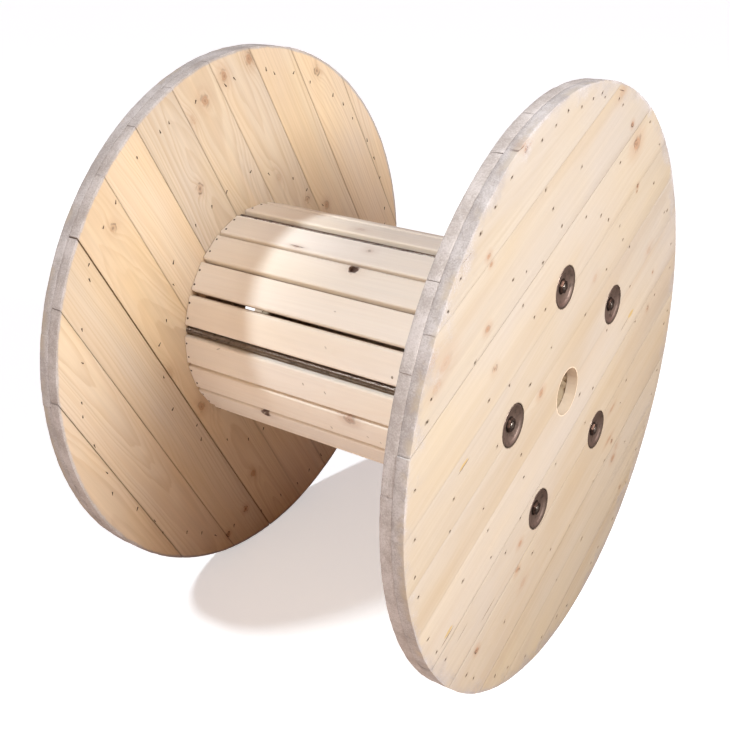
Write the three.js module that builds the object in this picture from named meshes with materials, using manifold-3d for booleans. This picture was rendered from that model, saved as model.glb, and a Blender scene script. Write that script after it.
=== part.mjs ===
// A wooden cable drum lying on the rims of its two flanges.
// Millimetres, +Z up. The drum's axis runs along X, and the floor is the plane z = 0.
// Each flange is two layers of planks laid crosswise. Between the flanges a hollow barrel of flat slats
// stands on a support ring at each end. Five tie rods run between the slats and through both flanges,
// and each end has a nut in a dished washer that is sunk flush into the flange.

import * as THREE from "three";
import { mergeVertices } from "three/addons/utils/BufferGeometryUtils.js";
import Module from "manifold-3d";

// ---------------------------------------------------------------- driving dimensions

const flangeDiameter = 1000;
const layerThickness = 19; // one of a flange's two plank layers
const windingWidth = 610; // clear space between the two flanges
const boreDiameter = 80; // arbor hole through both flanges

const barrelDiameter = 414; // across the outer faces of opposite slats
const slatThickness = 20;
const slatEdgeRadius = 4; // the long edges that face outwards
const slatGaps = [0.8, 1.2, 4.5]; // between the four slats of one group, at their inner edges

const supportThickness = 20; // along the drum's axis
const supportBand = 50; // from the ring's rim in to its hole

const rodDiameter = 12;
const rodCount = 5;
const firstRodAngle = 29; // degrees from +Y towards +Z
const rodToSlat = 1; // free space each side of a rod, at the slats' inner edges
const rodHoleClearance = 0.5; // radial, through wood and washers
const rodEndDepth = 0.5; // how far the rod's ends stop below the flange's outer face
const threadPastNut = 0.4; // bare rod outside the nut

const washerDiameter = 66;
const washerFloorDiameter = 25; // the flat bottom of the dish
const washerThickness = 2;
const nutAcrossFlats = 19;
const nutHeight = 5; // a thin nut

const seamWidth = 1.2; // the gap between two planks
const seamDepth = 4; // how deep it is cut into the layer's open face
const jointGap = 0.3; // between pieces that touch

// How the planks of each layer run: the angle of their length from +Y towards +Z, the place of one seam
// measured across them from the drum's axis, and the widths of the planks that follow below it, which
// repeat as far as the flange reaches.
const plankLayouts = {
  rightOuter: { angle: 22.5, seam: 397, widths: [113, 107, 89, 86, 91, 84, 115, 68, 74, 110] },
  rightInner: { angle: 112.5, seam: 441, widths: [98] },
  leftInner: { angle: -60, seam: 450, widths: [103, 97, 99, 95, 100, 97, 99, 94, 98] },
  leftOuter: { angle: 30, seam: 436, widths: [98] },
};

// How many flats stand for each round surface.
const rimSides = 96;
const boreSides = 32;
const supportSides = 60;
const washerSides = 24;
const rodSides = 12;
const rodHoleSides = 16;
const slatEdgeSides = 2;

const cutterRunOut = 1; // how far a cutter reaches past the face that it opens
const weldDistance = 1e-3; // vertices closer than this are one corner

// ---------------------------------------------------------------- sizes that follow

const flangeRadius = flangeDiameter / 2;
const axisHeight = flangeRadius * Math.cos(Math.PI / rimSides); // the rim rests on one of its facets
const innerFace = windingWidth / 2; // distances from the drum's middle, along X
const outerFace = innerFace + 2 * layerThickness;
const dishDepth = rodEndDepth + threadPastNut + nutHeight + jointGap; // from the outer face down to its floor

const slatInnerRadius = barrelDiameter / 2 - slatThickness;
const rodCircleRadius = barrelDiameter / 2 - slatThickness / 2; // rods stand at the slats' mid-thickness
const rodRadius = rodDiameter / 2;
const rodHoleRadius = rodRadius + rodHoleClearance;

const groupAngle = (2 * Math.PI) / rodCount; // from one rod to the next
const rodGapAngle = gapAngle(rodDiameter + 2 * rodToSlat);
const slatGapAngles = slatGaps.map(gapAngle);
const slatAngle = (groupAngle - rodGapAngle - sum(slatGapAngles)) / (slatGaps.length + 1);
const slatWidth = 2 * slatInnerRadius * Math.tan(slatAngle / 2);

const rods = Array.from({ length: rodCount }, (_, index) => {
  const angle = THREE.MathUtils.degToRad(firstRodAngle) + index * groupAngle;
  return { angle, y: rodCircleRadius * Math.cos(angle), z: rodCircleRadius * Math.sin(angle) };
});

// The angle that a gap between two slats takes up, seen from the drum's axis.
function gapAngle(gap) {
  return 2 * Math.asin(gap / 2 / slatInnerRadius);
}

function sum(values) {
  return values.reduce((total, value) => total + value, 0);
}

// ---------------------------------------------------------------- materials

const pine = new THREE.MeshStandardMaterial({ color: 0xe3c79b, roughness: 0.75, metalness: 0 });
const planedPine = new THREE.MeshStandardMaterial({ color: 0xe6d5c2, roughness: 0.7, metalness: 0 });
const dishSteel = new THREE.MeshStandardMaterial({ color: 0x4a4138, roughness: 0.5, metalness: 0.9 });
const rodSteel = new THREE.MeshStandardMaterial({ color: 0x55504a, roughness: 0.5, metalness: 0.9 });
const nutSteel = new THREE.MeshStandardMaterial({ color: 0x5c5348, roughness: 0.45, metalness: 0.9 });

// ---------------------------------------------------------------- solids and cuts

const manifold = await Module();
manifold.setup();

function toSolid(geometry) {
  const bare = geometry.clone();
  bare.deleteAttribute("normal");
  bare.deleteAttribute("uv");
  const merged = mergeVertices(bare, weldDistance);
  const mesh = new manifold.Mesh({
    numProp: 3,
    vertProperties: new Float32Array(merged.attributes.position.array),
    triVerts: new Uint32Array(merged.index.array),
  });
  return new manifold.Manifold(mesh);
}

function toGeometry(solid) {
  const { vertProperties, triVerts } = solid.getMesh();
  const geometry = new THREE.BufferGeometry();
  geometry.setAttribute("position", new THREE.BufferAttribute(vertProperties, 3));
  geometry.setIndex(new THREE.BufferAttribute(triVerts, 1));
  geometry.computeVertexNormals();
  return geometry;
}

function cut(geometry, cutters) {
  return toGeometry(cutters.reduce((rest, cutter) => rest.subtract(toSolid(cutter)), toSolid(geometry)));
}

function piece(name, geometry, material) {
  const mesh = new THREE.Mesh(geometry, material);
  mesh.name = name;
  return mesh;
}

// A round bar along X between two places, with one of its flats facing straight down.
function roundBar(radius, [from, to], sides, { y = 0, z = 0 } = {}) {
  return new THREE.CylinderGeometry(radius, radius, to - from, sides, 1, false, Math.PI / sides)
    .rotateZ(-Math.PI / 2)
    .translate((from + to) / 2, y, z);
}

// The cutter for a round hole right through a solid that lies between two places.
function throughHole(radius, [from, to], sides, centre) {
  return roundBar(radius, [from - cutterRunOut, to + cutterRunOut], sides, centre);
}

// A bowl or ring turned round X from an outline of [radius, x] points that closes on itself or on X.
function turned(outline, sides) {
  const points = outline.map(([radius, x]) => new THREE.Vector2(radius, x));
  return new THREE.LatheGeometry(points, sides).rotateZ(-Math.PI / 2);
}

// Two distances from the drum's middle as a low and a high x, on the +X or the -X side.
function span(side, near, far) {
  return side > 0 ? [near, far] : [-far, -near];
}

// Half a turn for what is shaped with +X pointing out of the drum and goes on the -X side.
function turnTo(side) {
  return side > 0 ? 0 : Math.PI;
}

// ---------------------------------------------------------------- washers, nuts and rods

// Distances along X are from the flange's outer face, so everything inside the wood is negative.
function dishedWasher(name) {
  const rim = washerDiameter / 2;
  const floor = washerFloorDiameter / 2;
  const underside = -dishDepth - washerThickness;
  const outline = [
    [rodHoleRadius, underside],
    [floor, underside],
    [rim, -washerThickness],
    [rim, -jointGap],
    [rim - washerThickness, -jointGap],
    [floor - washerThickness / 2, -dishDepth],
    [rodHoleRadius, -dishDepth],
    [rodHoleRadius, underside],
  ];
  return piece(name, turned(outline, washerSides), dishSteel);
}

// The cutter for the pocket that a dished washer is sunk into.
function washerPocket(side, { y, z }) {
  const rim = washerDiameter / 2 + 2 * jointGap;
  const bottom = -dishDepth - washerThickness - jointGap;
  const outline = [
    [0, bottom],
    [washerFloorDiameter / 2 + 2 * jointGap, bottom],
    [rim, -washerThickness],
    [rim, cutterRunOut],
    [0, cutterRunOut],
  ];
  return turned(outline, washerSides).rotateZ(turnTo(side)).translate(side * outerFace, y, z);
}

function nut(name) {
  const cornerRadius = nutAcrossFlats / 2 / Math.cos(Math.PI / 6);
  const hexagon = Array.from({ length: 6 }, (_, index) =>
    new THREE.Vector2(cornerRadius, 0).rotateAround(new THREE.Vector2(), (index * Math.PI) / 3),
  );
  const outline = new THREE.Shape(hexagon);
  outline.holes.push(new THREE.Path().absarc(0, 0, rodRadius + jointGap, 0, 2 * Math.PI, true));
  const options = { depth: nutHeight, bevelEnabled: false, curveSegments: rodSides };
  const body = new THREE.ExtrudeGeometry(outline, options)
    .rotateY(Math.PI / 2)
    .translate(jointGap - dishDepth, 0, 0);
  return piece(name, body, nutSteel);
}

// Sets a washer or nut on one flange's outer face, at a rod.
function atRod(fitting, side, { y, z }) {
  fitting.position.set(side * outerFace, y, z);
  fitting.rotation.z = turnTo(side);
  return fitting;
}

function tieRods() {
  const group = new THREE.Group();
  const end = outerFace - rodEndDepth;
  rods.forEach(({ y, z }, index) => {
    const rod = piece(`tie_rod_${index + 1}`, roundBar(rodRadius, [-end, end], rodSides), rodSteel);
    rod.position.set(0, y, z);
    group.add(rod);
  });
  return group;
}

// ---------------------------------------------------------------- flanges

// Where the seams of one layer lie, measured across its planks from the drum's axis.
function seamPlaces({ seam, widths }) {
  const repeat = sum(widths);
  const places = [];
  let place = seam + repeat * Math.ceil((flangeRadius - seam) / repeat);
  for (let index = 0; place > -flangeRadius; index += 1) {
    if (place < flangeRadius) places.push(place);
    place -= widths[index % widths.length];
  }
  return places;
}

function seamCutters(layout, openFace) {
  return seamPlaces(layout).map((place) =>
    new THREE.BoxGeometry(2 * seamDepth, 2 * flangeDiameter, seamWidth)
      .translate(openFace, 0, place)
      .rotateX(THREE.MathUtils.degToRad(layout.angle)),
  );
}

// One layer as one solid, with the gaps between its planks cut into the face that shows.
function plankLayer(name, layout, range, openFace, pockets = []) {
  const disc = roundBar(flangeRadius, range, rimSides);
  const bore = throughHole(boreDiameter / 2, range, boreSides);
  const rodHoles = rods.map((rod) => throughHole(rodHoleRadius, range, rodHoleSides, rod));
  return piece(name, cut(disc, [...seamCutters(layout, openFace), bore, ...rodHoles, ...pockets]), pine);
}

function flange(name, side) {
  const group = new THREE.Group();
  const innerRange = span(side, innerFace, innerFace + layerThickness);
  const outerRange = span(side, innerFace + layerThickness + jointGap, outerFace);
  const inner = plankLayouts[`${name}Inner`];
  const outer = plankLayouts[`${name}Outer`];
  const pockets = rods.map((rod) => washerPocket(side, rod));
  group.add(plankLayer(`${name}_flange_inner_layer`, inner, innerRange, side * innerFace));
  group.add(plankLayer(`${name}_flange_outer_layer`, outer, outerRange, side * outerFace, pockets));
  rods.forEach((rod, index) => {
    group.add(atRod(dishedWasher(`${name}_dished_washer_${index + 1}`), side, rod));
    group.add(atRod(nut(`${name}_nut_${index + 1}`), side, rod));
  });
  return group;
}

// ---------------------------------------------------------------- barrel

// A slat along X with its outer face at +Y, on the circle of slats.
function slatGeometry() {
  const half = slatWidth / 2;
  const outer = barrelDiameter / 2;
  const round = slatEdgeRadius;
  const section = new THREE.Shape()
    .moveTo(-half, slatInnerRadius)
    .lineTo(half, slatInnerRadius)
    .lineTo(half, outer - round)
    .absarc(half - round, outer - round, round, 0, Math.PI / 2)
    .lineTo(round - half, outer)
    .absarc(round - half, outer - round, round, Math.PI / 2, Math.PI);
  const length = windingWidth - 2 * jointGap;
  const options = { depth: length, bevelEnabled: false, curveSegments: slatEdgeSides };
  return new THREE.ExtrudeGeometry(section, options).translate(0, 0, -length / 2).rotateY(Math.PI / 2);
}

function supportRing(name, side) {
  const range = span(side, innerFace - jointGap - supportThickness, innerFace - jointGap);
  const rim = slatInnerRadius - jointGap;
  const ring = cut(roundBar(rim, range, supportSides), [throughHole(rim - supportBand, range, supportSides)]);
  return piece(name, ring, pine);
}

function barrel() {
  const group = new THREE.Group();
  group.add(supportRing("left_support_ring", -1), supportRing("right_support_ring", 1));
  const steps = [...slatGapAngles, rodGapAngle].map((gap) => slatAngle + gap);
  let count = 0;
  rods.forEach(({ angle }) => {
    let turn = angle + (rodGapAngle + slatAngle) / 2;
    steps.forEach((step) => {
      count += 1;
      const slat = piece(`barrel_slat_${String(count).padStart(2, "0")}`, slatGeometry(), planedPine);
      slat.rotation.x = turn;
      group.add(slat);
      turn += step;
    });
  });
  return group;
}

// ---------------------------------------------------------------- the drum

const drum = new THREE.Group();
drum.position.z = axisHeight;
drum.add(flange("left", -1), flange("right", 1), barrel(), tieRods());

export default drum;
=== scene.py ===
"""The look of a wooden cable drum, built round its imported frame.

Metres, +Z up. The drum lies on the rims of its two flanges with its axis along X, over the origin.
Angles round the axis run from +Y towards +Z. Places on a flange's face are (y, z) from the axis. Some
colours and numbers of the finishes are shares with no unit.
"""

from __future__ import annotations

import sys

import logging  # noqa: E402
import math  # noqa: E402
import random  # noqa: E402
from contextlib import contextmanager  # noqa: E402
from dataclasses import dataclass, field  # noqa: E402
from enum import Enum  # noqa: E402
from typing import Any, Callable, Iterator, Sequence, Union  # noqa: E402

import bmesh  # noqa: E402
import bpy  # noqa: E402
from mathutils import Euler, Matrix, Vector  # noqa: E402


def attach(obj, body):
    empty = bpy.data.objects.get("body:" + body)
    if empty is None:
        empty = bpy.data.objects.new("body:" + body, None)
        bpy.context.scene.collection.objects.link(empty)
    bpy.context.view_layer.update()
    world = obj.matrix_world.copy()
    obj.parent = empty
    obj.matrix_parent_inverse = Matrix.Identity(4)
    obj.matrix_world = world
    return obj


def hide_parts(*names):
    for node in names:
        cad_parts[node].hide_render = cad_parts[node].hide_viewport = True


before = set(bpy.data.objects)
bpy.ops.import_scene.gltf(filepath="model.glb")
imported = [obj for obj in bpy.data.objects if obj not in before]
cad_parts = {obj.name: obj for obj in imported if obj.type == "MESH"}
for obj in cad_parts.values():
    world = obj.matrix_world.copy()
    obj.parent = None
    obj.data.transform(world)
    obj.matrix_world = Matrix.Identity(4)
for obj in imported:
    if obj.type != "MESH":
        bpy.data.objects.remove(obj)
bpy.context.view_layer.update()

LOG = logging.getLogger("cable_drum")

Piece = bpy.types.Object
Tree = bpy.types.NodeTree
Output = bpy.types.NodeSocket
Colour = tuple[float, float, float]
Place = tuple[float, float]
Stretch = tuple[float, float, float]
Signal = Union[float, Sequence[float], Output]

# ------------------------------------------------------------------ sizes of the whole drum

MM = 0.001
AXIS_HEIGHT = 0.499732
FLANGE_RADIUS = 0.4993
INNER_FACE = 0.305  # a flange's two faces and the joint between its layers, from the drum's middle
LAYER_JOINT = 0.324
OUTER_FACE = 0.343
BORE_RADIUS = 0.040
ROD_CIRCLE = 0.197
ROD_ANGLES = tuple(math.radians(29 + 72 * index) for index in range(5))
JOINT_GAP = 0.3 * MM
PAST_RIM = 0.5  # a distance from the axis that lies outside the flanges
SHARP = math.radians(35)
BODY = "root"


class Side(Enum):
    """Which end of the drum, as the sign of its x."""

    LEFT = -1
    RIGHT = 1


class Pick(Enum):
    """What a selection in edit mode is made of."""

    VERT = "verts"
    EDGE = "edges"
    FACE = "faces"


class Cut(Enum):
    """How a boolean cut joins a piece with its cutter."""

    TAKE_AWAY = "DIFFERENCE"
    KEEP_COMMON = "INTERSECT"


# ------------------------------------------------------------------ modelling


class Bench:
    """Shapes meshes with Blender's own operators."""

    @staticmethod
    def clear() -> None:
        """Deselects every object."""
        bpy.ops.object.select_all(action="DESELECT")

    @staticmethod
    def take(*pieces: Piece) -> None:
        """Selects only these pieces and makes the first one active."""
        Bench.clear()
        for piece in pieces:
            piece.select_set(True)
        bpy.context.view_layer.objects.active = pieces[0]

    @staticmethod
    def settle(piece: Piece) -> None:
        """Puts the piece's place, turn and scale into its mesh."""
        Bench.take(piece)
        bpy.ops.object.transform_apply(location=True, rotation=True, scale=True)

    @staticmethod
    def bar(name: str, radius: float, span: Place, at: Place = (0.0, 0.0), sides: int = 32) -> Piece:
        """Adds a round bar along X.

        Args:
            name: The piece's name.
            radius: Its radius.
            span: The x of its two ends.
            at: Its (y, z) from the drum's axis.
            sides: How many flats it has.

        Returns:
            The bar, with its place in its mesh.
        """
        Bench.clear()
        bpy.ops.mesh.primitive_cylinder_add(
            vertices=sides,
            radius=radius,
            depth=abs(span[1] - span[0]),
            location=((span[0] + span[1]) / 2, at[0], AXIS_HEIGHT + at[1]),
            rotation=(0.0, math.pi / 2, 0.0),
        )
        piece = bpy.context.active_object
        piece.name = piece.data.name = name
        Bench.settle(piece)
        return piece

    @staticmethod
    @contextmanager
    def edit(piece: Piece, pick: Pick = Pick.EDGE) -> Iterator[bpy.types.Mesh]:
        """Holds the piece in edit mode with nothing selected.

        Args:
            piece: The piece to shape.
            pick: What the selections are made of.

        Yields:
            The piece's mesh.
        """
        Bench.take(piece)
        bpy.ops.object.mode_set(mode="EDIT")
        bpy.ops.mesh.select_mode(type=pick.name)
        bpy.ops.mesh.select_all(action="DESELECT")
        yield piece.data
        bpy.ops.object.mode_set(mode="OBJECT")

    @staticmethod
    def choose(mesh: bpy.types.Mesh, pick: Pick, test: Callable[[Any], bool]) -> int:
        """Selects the parts of a mesh in edit mode that pass a test.

        Args:
            mesh: The mesh being edited.
            pick: Which parts are tested.
            test: Says whether a part is selected.

        Returns:
            How many parts are selected.
        """
        bpy.ops.mesh.select_mode(type=pick.name)
        bpy.ops.mesh.select_all(action="DESELECT")
        shape = bmesh.from_edit_mesh(mesh)
        chosen = [part for part in getattr(shape, pick.value) if test(part)]
        for part in chosen:
            part.select_set(True)
        shape.select_flush_mode()
        bmesh.update_edit_mesh(mesh)
        return len(chosen)

    @staticmethod
    def sharp(edge: Any) -> bool:
        """Whether an edge between two faces is a sharp one."""
        return len(edge.link_faces) == 2 and edge.calc_face_angle(0.0) > SHARP

    @staticmethod
    def whole(mesh_tool: Callable[..., Any], **settings: Any) -> None:
        """Uses an edit-mode operator on all of the mesh."""
        bpy.ops.mesh.select_all(action="SELECT")
        mesh_tool(**settings)

    @staticmethod
    def roughen(offset: float, seed: int) -> None:
        """Moves every vertex of the mesh in edit mode at random, as weathered or chipped wood."""
        Bench.whole(bpy.ops.transform.vertex_random, offset=offset, uniform=1.0, normal=0.0, seed=seed)

    @staticmethod
    def ease(
        piece: Piece, width: float, segments: int = 2, test: Callable[[Any], bool] | None = None
    ) -> None:
        """Rounds a piece's sharp edges.

        Args:
            piece: The piece.
            width: How far the round reaches from the edge.
            segments: How many facets make it.
            test: Picks the edges; without it all sharp ones are rounded.
        """
        with Bench.edit(piece) as mesh:
            if Bench.choose(mesh, Pick.EDGE, test or Bench.sharp):
                bpy.ops.mesh.bevel(
                    offset=width, offset_type="OFFSET", segments=segments, affect="EDGES", clamp_overlap=True
                )

    @staticmethod
    def flatten(mesh: bpy.types.Mesh, *places: float, reach: float = 0.8 * MM) -> None:
        """Sets the vertices that lie near these x exactly on them, so that end faces are flat."""
        for place in places:
            Bench.choose(mesh, Pick.VERT, lambda vert: abs(vert.co.x - place) < reach)
            bpy.ops.transform.resize(value=(0.0, 1.0, 1.0), center_override=(place, 0.0, AXIS_HEIGHT))

    @staticmethod
    def cut(piece: Piece, cutter: Piece, how: Cut = Cut.TAKE_AWAY) -> None:
        """Cuts a piece with another, which stays."""
        tool = piece.modifiers.new("cut", "BOOLEAN")
        tool.operation, tool.solver, tool.object = how.value, "EXACT", cutter
        Bench.take(piece)
        bpy.ops.object.modifier_apply(modifier=tool.name)

    @staticmethod
    def copy(piece: Piece, name: str) -> Piece:
        """A copy of a piece with its own mesh.

        Args:
            piece: The piece.
            name: The copy's name.

        Returns:
            The copy.
        """
        Bench.take(piece)
        bpy.ops.object.duplicate(linked=False)
        twin = bpy.context.active_object
        twin.name = twin.data.name = name
        return twin

    @staticmethod
    def join(name: str, pieces: Sequence[Piece]) -> Piece:
        """Makes several pieces one object.

        Args:
            name: Its name.
            pieces: The pieces.

        Returns:
            The object.
        """
        Bench.take(*pieces)
        if len(pieces) > 1:
            bpy.ops.object.join()
        whole = bpy.context.active_object
        whole.name = whole.data.name = name
        return whole

    @staticmethod
    def drill(piece: Piece, radius: float, span: Place, sides: int = 32) -> None:
        """Bores a hole through a piece along the drum's axis."""
        bit = Bench.bar("drill", radius, span, sides=sides)
        Bench.cut(piece, bit)
        Bench.scrap(bit)

    @staticmethod
    def scrap(*pieces: Piece) -> None:
        """Removes cutters and blanks with their meshes."""
        for piece in pieces:
            mesh = piece.data
            bpy.data.objects.remove(piece)
            bpy.data.meshes.remove(mesh)

    @staticmethod
    def smooth(piece: Piece, degrees: float = 32.0) -> None:
        """Shades a piece smooth except across edges sharper than the angle."""
        Bench.take(piece)
        bpy.ops.object.shade_smooth_by_angle(angle=math.radians(degrees))

    @staticmethod
    def fit(piece: Piece, slot: str, *nodes: str) -> None:
        """Hands a finished piece to the frame.

        Args:
            piece: The piece.
            slot: The name of a material slot; not used.
            nodes: The frame's nodes that it stands for.
        """
        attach(piece, BODY)
        if nodes:
            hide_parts(*nodes)
        LOG.info("%s: %d faces", piece.name, len(piece.data.polygons))


# ------------------------------------------------------------------ shader nodes


@dataclass
class Patch:
    """Lays shader nodes in one tree and links them."""

    tree: Tree

    def add(self, kind: str, **settings: Any) -> bpy.types.Node:
        """Adds a node and sets its own properties."""
        node = self.tree.nodes.new(kind)
        for key, value in settings.items():
            setattr(node, key, value)
        return node

    def feed(self, socket: Output, value: Signal) -> None:
        """Links a socket to another, or sets its number or colour.

        Args:
            socket: The socket.
            value: What it takes.
        """
        if isinstance(value, Output):
            self.tree.links.new(value, socket)
        elif socket.type == "RGBA" and len(value) == 3:
            socket.default_value = (*value, 1.0)
        else:
            socket.default_value = value

    def fill(self, sockets: Any, values: dict[str, Signal]) -> None:
        """Feeds several sockets by name."""
        for key, value in values.items():
            self.feed(sockets[key], value)

    def math(self, operation: str, *values: Signal, clamp: bool = False) -> Output:
        """A Math node's output.

        Args:
            operation: The node's operation.
            values: Its inputs, in order.
            clamp: Whether the output stays from 0 to 1.

        Returns:
            The output socket.
        """
        node = self.add("ShaderNodeMath", operation=operation, use_clamp=clamp)
        for socket, value in zip(node.inputs, values):
            self.feed(socket, value)
        return node.outputs[0]

    def plus(self, first: Signal, second: Signal, clamp: bool = False) -> Output:
        """The sum of two signals."""
        return self.math("ADD", first, second, clamp=clamp)

    def minus(self, first: Signal, second: Signal) -> Output:
        """The first signal less the second."""
        return self.math("SUBTRACT", first, second)

    def times(self, first: Signal, second: Signal) -> Output:
        """The product of two signals."""
        return self.math("MULTIPLY", first, second)

    def over(self, first: Signal, second: Signal) -> Output:
        """The first signal divided by the second."""
        return self.math("DIVIDE", first, second)

    def level(self, signal: Signal, gain: Signal, offset: Signal, clamp: bool = False) -> Output:
        """A signal times a gain, plus an offset."""
        return self.math("MULTIPLY_ADD", signal, gain, offset, clamp=clamp)

    def most(self, first: Signal, second: Signal) -> Output:
        """The greater of two signals."""
        return self.math("MAXIMUM", first, second)

    def absolute(self, signal: Signal) -> Output:
        """A signal without its sign."""
        return self.math("ABSOLUTE", signal)

    def hypot(self, first: Signal, second: Signal) -> Output:
        """The length of the diagonal over two sides."""
        squares = self.plus(self.math("POWER", first, 2.0), self.math("POWER", second, 2.0))
        return self.math("SQRT", squares)

    def split(self, vector: Signal) -> list[Output]:
        """The x, y and z of a vector."""
        node = self.add("ShaderNodeSeparateXYZ")
        self.feed(node.inputs[0], vector)
        return list(node.outputs)

    def joined(self, x: Signal, y: Signal, z: Signal) -> Output:
        """A vector made of x, y and z."""
        node = self.add("ShaderNodeCombineXYZ")
        for socket, value in zip(node.inputs, (x, y, z)):
            self.feed(socket, value)
        return node.outputs[0]

    def noise(
        self, vector: Signal, repeats: Stretch, shift: Signal = (0.0, 0.0, 0.0), detail: float = 2.0,
        roughness: float = 0.5,
    ) -> Output:
        """Noise from about 0 to 1 over a vector.

        Args:
            vector: The vector.
            repeats: How often the noise repeats along each of its axes.
            shift: How far the noise is moved.
            detail: How many finer layers it has.
            roughness: How strong those are.

        Returns:
            The output socket.
        """
        place = self.add("ShaderNodeVectorMath", operation="MULTIPLY_ADD")
        for socket, value in zip(place.inputs, (vector, repeats, shift)):
            self.feed(socket, value)
        node = self.add("ShaderNodeTexNoise", noise_dimensions="3D")
        self.fill(
            node.inputs, {"Vector": place.outputs[0], "Scale": 1.0, "Detail": detail, "Roughness": roughness}
        )
        return node.outputs[0]

    def ease(
        self, value: Signal, low: Signal, high: Signal, start: Signal = 0.0, end: Signal = 1.0
    ) -> Output:
        """A smooth step between two values, from start to end.

        Args:
            value: The signal.
            low: Where the step begins.
            high: Where it ends.
            start: What comes out below it.
            end: What comes out above it.

        Returns:
            The output socket.
        """
        node = self.add("ShaderNodeMapRange", interpolation_type="SMOOTHSTEP")
        self.fill(
            node.inputs, {"Value": value, "From Min": low, "From Max": high, "To Min": start, "To Max": end}
        )
        return node.outputs[0]

    def fade(self, value: Signal, low: Signal, high: Signal) -> Output:
        """A smooth step down from 1 to 0 between two values."""
        return self.ease(value, low, high, start=1.0, end=0.0)

    def mix(self, share: Signal, first: Signal, second: Signal, blend: str = "MIX") -> Output:
        """Two colours mixed by a share.

        Args:
            share: The share of the second colour.
            first: A colour.
            second: Another.
            blend: The way they are mixed.

        Returns:
            The mixed colour.
        """
        node = self.add("ShaderNodeMix", data_type="RGBA", blend_type=blend)
        self.feed(node.inputs["Factor"], share)
        self.feed(node.inputs[6], first)
        self.feed(node.inputs[7], second)
        return node.outputs[2]

    def effect(self, tree: Tree, **values: Signal) -> bpy.types.Node:
        """Places an effect group; an underscore in a keyword stands for a space."""
        node = self.add("ShaderNodeGroup", node_tree=tree)
        self.fill(node.inputs, {key.replace("_", " "): value for key, value in values.items()})
        return node

    def bump(self, height: Signal, strength: float, depth: float) -> Output:
        """The normals of a surface with this relief."""
        node = self.add("ShaderNodeBump")
        self.fill(node.inputs, {"Strength": strength, "Distance": depth, "Height": height})
        return node.outputs[0]


def new_material(name: str, *pieces: Piece) -> tuple[Patch, Any]:
    """Makes a material and gives it to some pieces in place of any they have.

    Args:
        name: The material's name.
        pieces: The pieces.

    Returns:
        The patch on its tree, and its shader's inputs by name.
    """
    material = bpy.data.materials.new(name)
    material.use_nodes = True
    for piece in pieces:
        piece.data.materials.clear()
        piece.data.materials.append(material)
    return Patch(material.node_tree), material.node_tree.nodes["Principled BSDF"].inputs


class Socket(Enum):
    """The kinds of socket that an effect group has."""

    VALUE = "NodeSocketFloat"
    VECTOR = "NodeSocketVector"
    COLOUR = "NodeSocketColor"


def new_effect(
    name: str, outputs: Sequence[str], values: dict[str, float], colours: dict[str, Colour] | None = None
) -> tuple[Patch, Any, Any]:
    """Starts an effect group that reads a place and some numbers and colours.

    Args:
        name: The group's name.
        outputs: Its outputs; all but "Color" are numbers.
        values: Its number inputs and their defaults.
        colours: Its colour inputs and their defaults.

    Returns:
        The patch on its tree, its inputs as sockets by name, and its outputs to feed by name.
    """
    tree = bpy.data.node_groups.new(name, "ShaderNodeTree")
    make = tree.interface.new_socket
    make(name="Vector", in_out="INPUT", socket_type=Socket.VECTOR.value)
    for key, number in values.items():
        make(name=key, in_out="INPUT", socket_type=Socket.VALUE.value).default_value = number
    for key, colour in (colours or {}).items():
        make(name=key, in_out="INPUT", socket_type=Socket.COLOUR.value).default_value = (*colour, 1.0)
    for key in outputs:
        kind = Socket.COLOUR if key == "Color" else Socket.VALUE
        make(name=key, in_out="OUTPUT", socket_type=kind.value)
    patch = Patch(tree)
    source, sink = patch.add("NodeGroupInput"), patch.add("NodeGroupOutput")
    return patch, source.outputs, sink.inputs


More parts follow.
